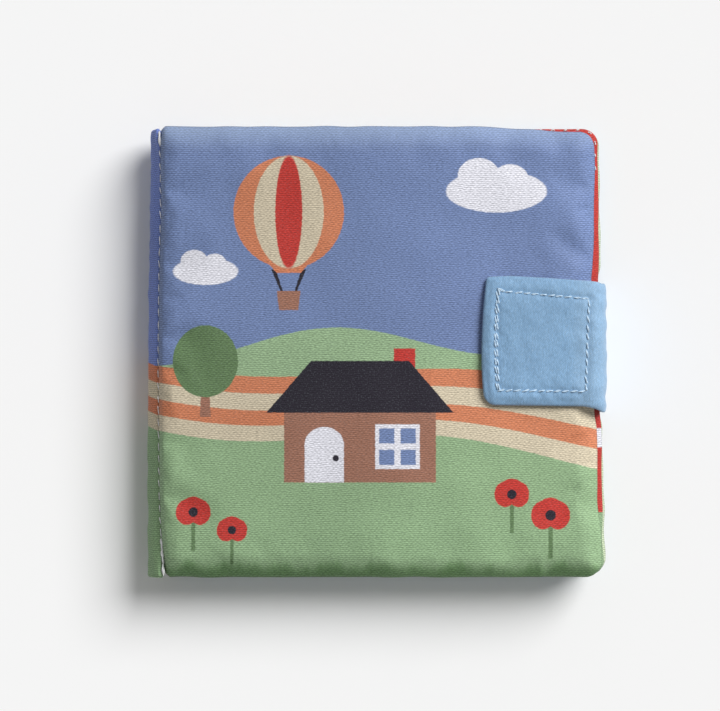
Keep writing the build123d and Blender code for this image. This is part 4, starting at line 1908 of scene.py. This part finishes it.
@dataclass
class PuppetBook:
    """The whole book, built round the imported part's boxes."""

    thread: ThreadFinish = ThreadFinish("thread", Ink.THREAD)
    line: SeamLine = SeamLine()
    binding_seam: float = 3.5 * MM
    cover_rise: float = 2.4 * MM
    patch_press: float = 0.9
    lap: float = 0.1 * MM

    def __post_init__(self) -> None:
        """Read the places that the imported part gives."""
        self.front_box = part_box("front_cover")
        self.back_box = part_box("back_cover")
        self.pages_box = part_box("inner_pages")
        self.spine_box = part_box("spine_fold")
        self.tab_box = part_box("closing_tab")
        self.hinge_x = self.front_box[0][0]
        self.seam_x = self.spine_box[0][0] + self.binding_seam
        self.thread_material = self.thread.material()
        puppet_low, puppet_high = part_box("finger_puppet")
        puppet_x = (puppet_low[0] + puppet_high[0]) / 2
        self.puppet = FingerPuppet(puppet_x, puppet_low[1], puppet_low[2] + 0.15 * MM, puppet_high[2])
        pocket_low, pocket_high = (np.array(corner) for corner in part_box("puppet_pocket"))
        self.pocket = PuppetPocket(pocket_low, pocket_high, self.puppet)

    def patch_hollow(self, x: Array, y: Array, z: Array) -> Array:
        """Depth that the fastened tab presses into the front cover at each place, from its height there."""
        low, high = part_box("cover_loop_patch")
        return self.patch_press * (z - low[2]) * smooth(inside_box(x, y, low, high), -5.0 * MM, 1.0 * MM)

    def puppet_hollow(self, x: Array, y: Array, z: Array) -> Array:
        """Depth that puppet and pocket press into the first leaf at each place, from its height there."""
        puppet = smooth(self.puppet.inside(x, y), -3.0 * MM, 0.4 * MM)
        low, high = self.pocket.low, self.pocket.high
        pocket = smooth(inside_box(x, y, low, high), -2.5 * MM, 0.6 * MM)
        under_pocket = (z - low[2] + 0.1 * MM) * pocket
        return np.maximum(under_pocket, (z - self.puppet.bottom_z + 0.05 * MM) * puppet)

    def front_cover(self) -> None:
        """Build the front cover as one pad that rides on no body."""
        low, high = self.front_box
        middle = (low[2] + high[2]) / 2
        dents = (
            Dent(67.5 * MM, 34.0 * MM, 7.0 * MM, 4.0 * MM, 0.75 * MM, -0.6),
            Dent(66.0 * MM, 54.0 * MM, 6.5 * MM, 8.0 * MM, 0.55 * MM, 0.5),
            Dent(54.0 * MM, 40.0 * MM, 8.0 * MM, 5.0 * MM, 0.35 * MM, -0.3),
            Dent(44.5 * MM, 72.0 * MM, 5.0 * MM, 4.0 * MM, 0.45 * MM, 0.7),
            Dent(61.5 * MM, 71.5 * MM, 3.0 * MM, 5.0 * MM, 0.45 * MM, -0.4),
        )
        panel = PaddedPanel(
            "front_cover_pad", spine_x=self.seam_x + self.lap, fore_head_x=73.4 * MM, fore_tail_x=74.6 * MM,
            head_y=76.5 * MM, tail_y=low[1] - self.lap, seam_z=middle, rise=self.cover_rise, drop=2.2 * MM,
            seed=11, spine_seam_z=middle - 2.0 * MM, fore_bow=0.6 * MM, head_corner_drop=1.9 * MM,
            tail_flare=1.0 * MM, pinch=0.7 * MM, fore_pull=1.0 * MM, fore_droop=1.6 * MM, tail_droop=2.8 * MM,
            head_droop=1.6 * MM, dome=0.4 * MM, power=2.0, uneven_taper=0.12, spine_taper=6.3 * MM,
            sink_reach=1.6 * MM, pucker=0.18 * MM, step=0.95 * MM, end_calm=0.8, dents=dents,
            pleat=Pleat(55.6 * MM, 1.4 * MM), press=self.patch_hollow, slack=0.012, seam_line=self.line,
            head_nick=0.35 * MM, tail_nick=0.4 * MM, spine_corner=2.2 * MM,
        )
        pad = panel.build()
        outside = ClothFinish(
            # Painted highlight along the head edge, which faces the lamp.
            "front_cover_cloth", Ink.SKY, Print.front(), painted_highlight=0.18, painted_highlight_from=66.0, painted_highlight_to=77.0,
            # Painted shade along the tail edge, where the cover rolls down away from the lamp; its line is
            # ragged.
            painted_shade=0.60, painted_shade_from=-70.4, painted_shade_to=-75.4, painted_shade_ragged=10.0,
            # Painted light: the cover grows lighter towards the fore edge.
            blotch_and_painted_light=0.16, painted_light_from=-20.0, painted_light_to=34.0,
        )
        lining = ClothFinish("front_lining_cloth", Ink.CREAM, (Dots(Ink.ORANGE, 9.0, 2.2),))
        dress(pad, "", "cover_cloth", ["front_cover"], outside.material(), lining.material())
        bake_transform(pad)

    def back_cover(self) -> None:
        """Build the back cover as one pad that rides on no body."""
        low, high = self.back_box
        middle = (low[2] + high[2]) / 2
        panel = PaddedPanel(
            "back_cover_pad", spine_x=self.seam_x + self.lap, fore_head_x=high[0] - 0.3 * MM,
            fore_tail_x=high[0], head_y=high[1] - 0.8 * MM, tail_y=low[1] + 0.3 * MM, seam_z=middle,
            rise=2.3 * MM, drop=middle, seed=12, spine_seam_z=middle + 2.0 * MM, wave=0.1 * MM,
            pucker=0.2 * MM, slack=0.010, seam_line=self.line, head_nick=0.35 * MM, tail_nick=0.4 * MM,
        )
        pad = panel.build()
        lining = ClothFinish("back_lining_cloth", Ink.CREAM, (Dots(Ink.HILL, 9.0, 2.2),))
        outside = ClothFinish("back_cover_cloth", Ink.SKY, Print.back())
        dress(pad, "", "cover_cloth", ["back_cover"], lining.material(), outside.material())
        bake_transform(pad)

    def leaves(self) -> None:
        """Build the padded leaves, with white thread along the first leaf's edge."""
        low, high = self.pages_box
        inks = (Ink.TAB_BLUE, Ink.PALE_GREEN, Ink.RED)
        count = len(inks)
        thickness = (high[2] - low[2]) / count
        for index, ink in enumerate(inks):
            middle = low[2] + (index + 0.5) * thickness
            first = index == count - 1
            fore_head, fore_tail, pinch = ((75.0, 75.2, 0.0), (75.9, 77.5, 1.5), (74.9, 76.5, 0.5))[index]
            padding_half = thickness / 2 - self.lap
            panel = PaddedPanel(
                f"leaf_pad_{count - index}", spine_x=self.hinge_x + 0.2 * MM, fore_head_x=fore_head * MM,
                fore_tail_x=fore_tail * MM, head_y=75.9 * MM, tail_y=low[1] + 0.4 * MM, seam_z=middle,
                rise=padding_half, drop=padding_half, seed=40 + index, spine_seam_z=middle,
                fore_bow=0.5 * MM, pinch=pinch * MM, fore_taper=4.5 * MM, end_taper=4.5 * MM,
                wave=0.08 * MM, press=self.puppet_hollow if first else None,
            )
            pad = panel.build()
            stripe = Slab(Ink.WHITE, 0.0, -32.3, -25.8, 170.0, 170.0)
            fields = (stripe, Hill(Ink.MEADOW, -54.2, 0.0, 150.0, 0.0))
            motifs = (Dots(Ink.CREAM, 12.0, 1.6), *(fields if first else ()))
            cloth = ClothFinish(f"leaf_cloth_{count - index}", ink, motifs)
            material = cloth.material()
            dress(pad, "book_block", "page_cloth", ["inner_pages"] if first else [], material, material)
            if first:
                self.leaf_seam(panel)

    def leaf_seam(self, panel: PaddedPanel) -> None:
        """Sew white thread round the first leaf's head corner, where the cover leaves its edge bare."""
        ring = panel.outline
        tangent = np.roll(ring, -1, axis=0) - np.roll(ring, 1, axis=0)
        out = np.stack([tangent[:, 1], -tangent[:, 0], 0 * tangent[:, 0]], -1)
        out = out / np.linalg.norm(out, axis=1)[:, None]
        inset = (0.50 + 0.55 * out[:, 0] ** 2) * MM
        line = ring - out * inset[:, None]
        line[:, 2] += panel.rise * padding(inset, panel.fore_taper, panel.power)
        shown = (ring[:, 0] > 40 * MM) & (ring[:, 1] > 60 * MM)
        thread = Thread(radius=0.26 * MM, length=1.5 * MM, gap=2.4 * MM, slant=0.10, seed=5)
        sewn = thread.run("leaf_seam_thread", [(line[shown], (0.5 * out + np.array([0, 0, 1.0]))[shown])])
        dress(sewn, "book_block", "thread", [], self.thread_material)

    def spine(self) -> None:
        """Build the spine strip and its binding thread."""
        low, high = self.spine_box
        strip = SpineStrip(
            left_x=low[0] - 1.4 * MM, seam_x=self.seam_x, inner_x=self.hinge_x + self.lap, tail_y=-76.4 * MM,
            head_y=76.0 * MM, bottom_z=low[2], top_z=high[2], line=self.line,
        )
        # Painted shade: the strip's colours are deepened all over by a small gamma, for the shade that it
        # lies in.
        cloth = ClothFinish("spine_cloth", Ink.SHADED_SKY, Print.LAND, painted_shade=0.10, painted_shade_from=100.0, painted_shade_to=99.0)
        dress(strip.build(), "book_block", "cover_cloth", ["spine_fold"], cloth.material())
        y = np.linspace(-75.6 * MM, 69.0 * MM, 160)
        lines = []
        for z, up in ((high[2], 1), (low[2], -1)):
            sway = self.line.at(y) + 0.06 * MM * np.sin(y / (9 * MM))
            line = np.stack([self.seam_x + sway, y, np.full_like(y, z + up * 0.30 * MM)], -1)
            lines.append((line, upright(len(y), up)))
        thread = Thread(radius=0.16 * MM, length=3.0 * MM, gap=1.1 * MM, slant=0.06, seed=6)
        sewn = thread.run("binding_thread", lines)
        dress(sewn, "book_block", "thread", ["spine_stitching"], self.thread_material)
        ends = []
        for z, up in ((high[2], 1), (low[2], -1)):
            for first, last, shift in ((69.2, 75.4, 0.1), (-62.8, -76.0, 0.0)):
                y = np.linspace(first, last, 12) * MM
                x = self.seam_x + self.line.at(y) + shift * MM
                line = np.stack([x, y, np.full_like(x, z)], -1)
                ends.append((line, upright(len(x), up)))
        thick = Thread(radius=0.50 * MM, length=5.2 * MM, gap=-0.9 * MM, slant=0.02, seed=7)
        dress(thick.run("binding_thread_ends", ends), "book_block", "thread", [], self.thread_material)

    def tab(self) -> None:
        """Build the closing tab and the box of thread on it."""
        low, high = self.tab_box
        patch_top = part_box("tab_hook_patch")[1][2]
        half = (high[2] - patch_top) / 2
        tab = ClosingTab(
            root_x=self.back_box[1][0], root_z=self.back_box[1][2] / 2, run_x=high[0] - half + 0.3 * MM,
            flap_z=patch_top + half, free_x=low[0] - 0.5 * MM,
        )
        strip = tab.build()
        cloth = ClothFinish(
            "tab_cloth", Ink.TAB_BLUE, rib=0.40, warp=0.40, weave_shade=0.52, streak=0.10, fleck=0.26,
            # Painted highlight on the strip's upright run and on its fold at the fore edge, which face the
            # lamp.
            sheen=0.30, painted_highlight=0.09, painted_highlight_from=37.0, painted_highlight_to=30.0,
        )
        material = cloth.material()
        dress(strip, "back_panel", "tab_cloth", ["closing_tab"], material, material)
        self.peel(strip)
        thread = Thread(
            radius=0.31 * MM, length=2.9 * MM, gap=-0.2 * MM, slant=0.11, seed=8, lift=0.25 * MM
        )
        sewn = thread.run("tab_thread", tab.seam_lines())
        pale = ThreadFinish("tab_thread", Ink.TAB_THREAD).material()
        dress(sewn, "back_panel", "thread", ["tab_stitching"], pale)
        self.peel(sewn)

    def fastener(self) -> None:
        """Build the hook patch under the tab and the loop patch on the front cover."""
        material = TapeFinish("fastener_tape", Ink.TAPE).material()
        for node, kind, up, body in (
            ("tab_hook_patch", Tape.HOOK, -1.0, "back_panel"),
            ("cover_loop_patch", Tape.LOOP, 1.0, "front_panel"),
        ):
            low, high = (np.array(corner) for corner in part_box(node))
            patch = TapePatch(kind, low, high, up).build(f"{node}_tape")
            dress(patch, body, "fastener_tape", [node], material, material)
            if up < 0:
                self.peel(patch)

    def finger_puppet(self) -> None:
        """Build the finger puppet and its pocket on the first leaf."""
        plush = self.puppet.build()
        brown = PlushFinish("puppet_plush", Ink.PLUSH).material()
        dress(plush, "book_block", "puppet_plush", ["finger_puppet"], brown)
        cream = PlushFinish("muzzle_plush", Ink.MUZZLE).material()
        bead = BeadFinish("eye_bead", Ink.CHARCOAL).material()
        spread, rise = self.puppet.ear_spread, self.puppet.ear_rise
        for name, x, y, rx, ry, lift, material in (
            ("puppet_muzzle", 0.0, 0.6 * MM, 7.6 * MM, 5.8 * MM, 0.35 * MM, cream),
            ("puppet_ear_left", -spread, rise, 4.4 * MM, 4.4 * MM, 0.12 * MM, cream),
            ("puppet_ear_right", spread, rise, 4.4 * MM, 4.4 * MM, 0.12 * MM, cream),
            ("puppet_nose", 0.0, 3.0 * MM, 2.3 * MM, 1.6 * MM, 0.55 * MM, bead),
            ("puppet_eye_left", -6.2 * MM, 8.6 * MM, 1.3 * MM, 1.3 * MM, 0.40 * MM, bead),
            ("puppet_eye_right", 6.2 * MM, 8.6 * MM, 1.3 * MM, 1.3 * MM, 0.40 * MM, bead),
        ):
            button = self.puppet.button(name, x, y, rx, ry, lift)
            dress(button, "book_block", "puppet_plush", [], material)
        sheet = self.pocket.build()
        cloth = ClothFinish("pocket_cloth", Ink.ORANGE, (Dots(Ink.CREAM, 6.0, 1.1, 60.0),))
        material = cloth.material()
        dress(sheet, "book_block", "pocket_cloth", ["puppet_pocket"], material, material)
        thread = Thread(radius=0.30 * MM, length=2.6 * MM, gap=0.85 * MM, slant=0.06, seed=9)
        sewn = thread.run("pocket_thread", self.pocket.seam_lines())
        dress(sewn, "book_block", "thread", ["pocket_stitching"], self.thread_material)

    def peel(self, piece: bpy.types.Object) -> None:
        """Give a piece of the tab its own copy of its mesh."""
        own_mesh(piece)


def main() -> None:
    """Build every piece, dress it and set the stage."""
    logging.basicConfig(level=logging.INFO, format="%(name)s: %(message)s")
    book = PuppetBook()
    book.front_cover()
    book.back_cover()
    book.leaves()
    book.spine()
    book.tab()
    book.fastener()
    book.finger_puppet()
    Studio().build()


if __name__ == "__main__":
    main()
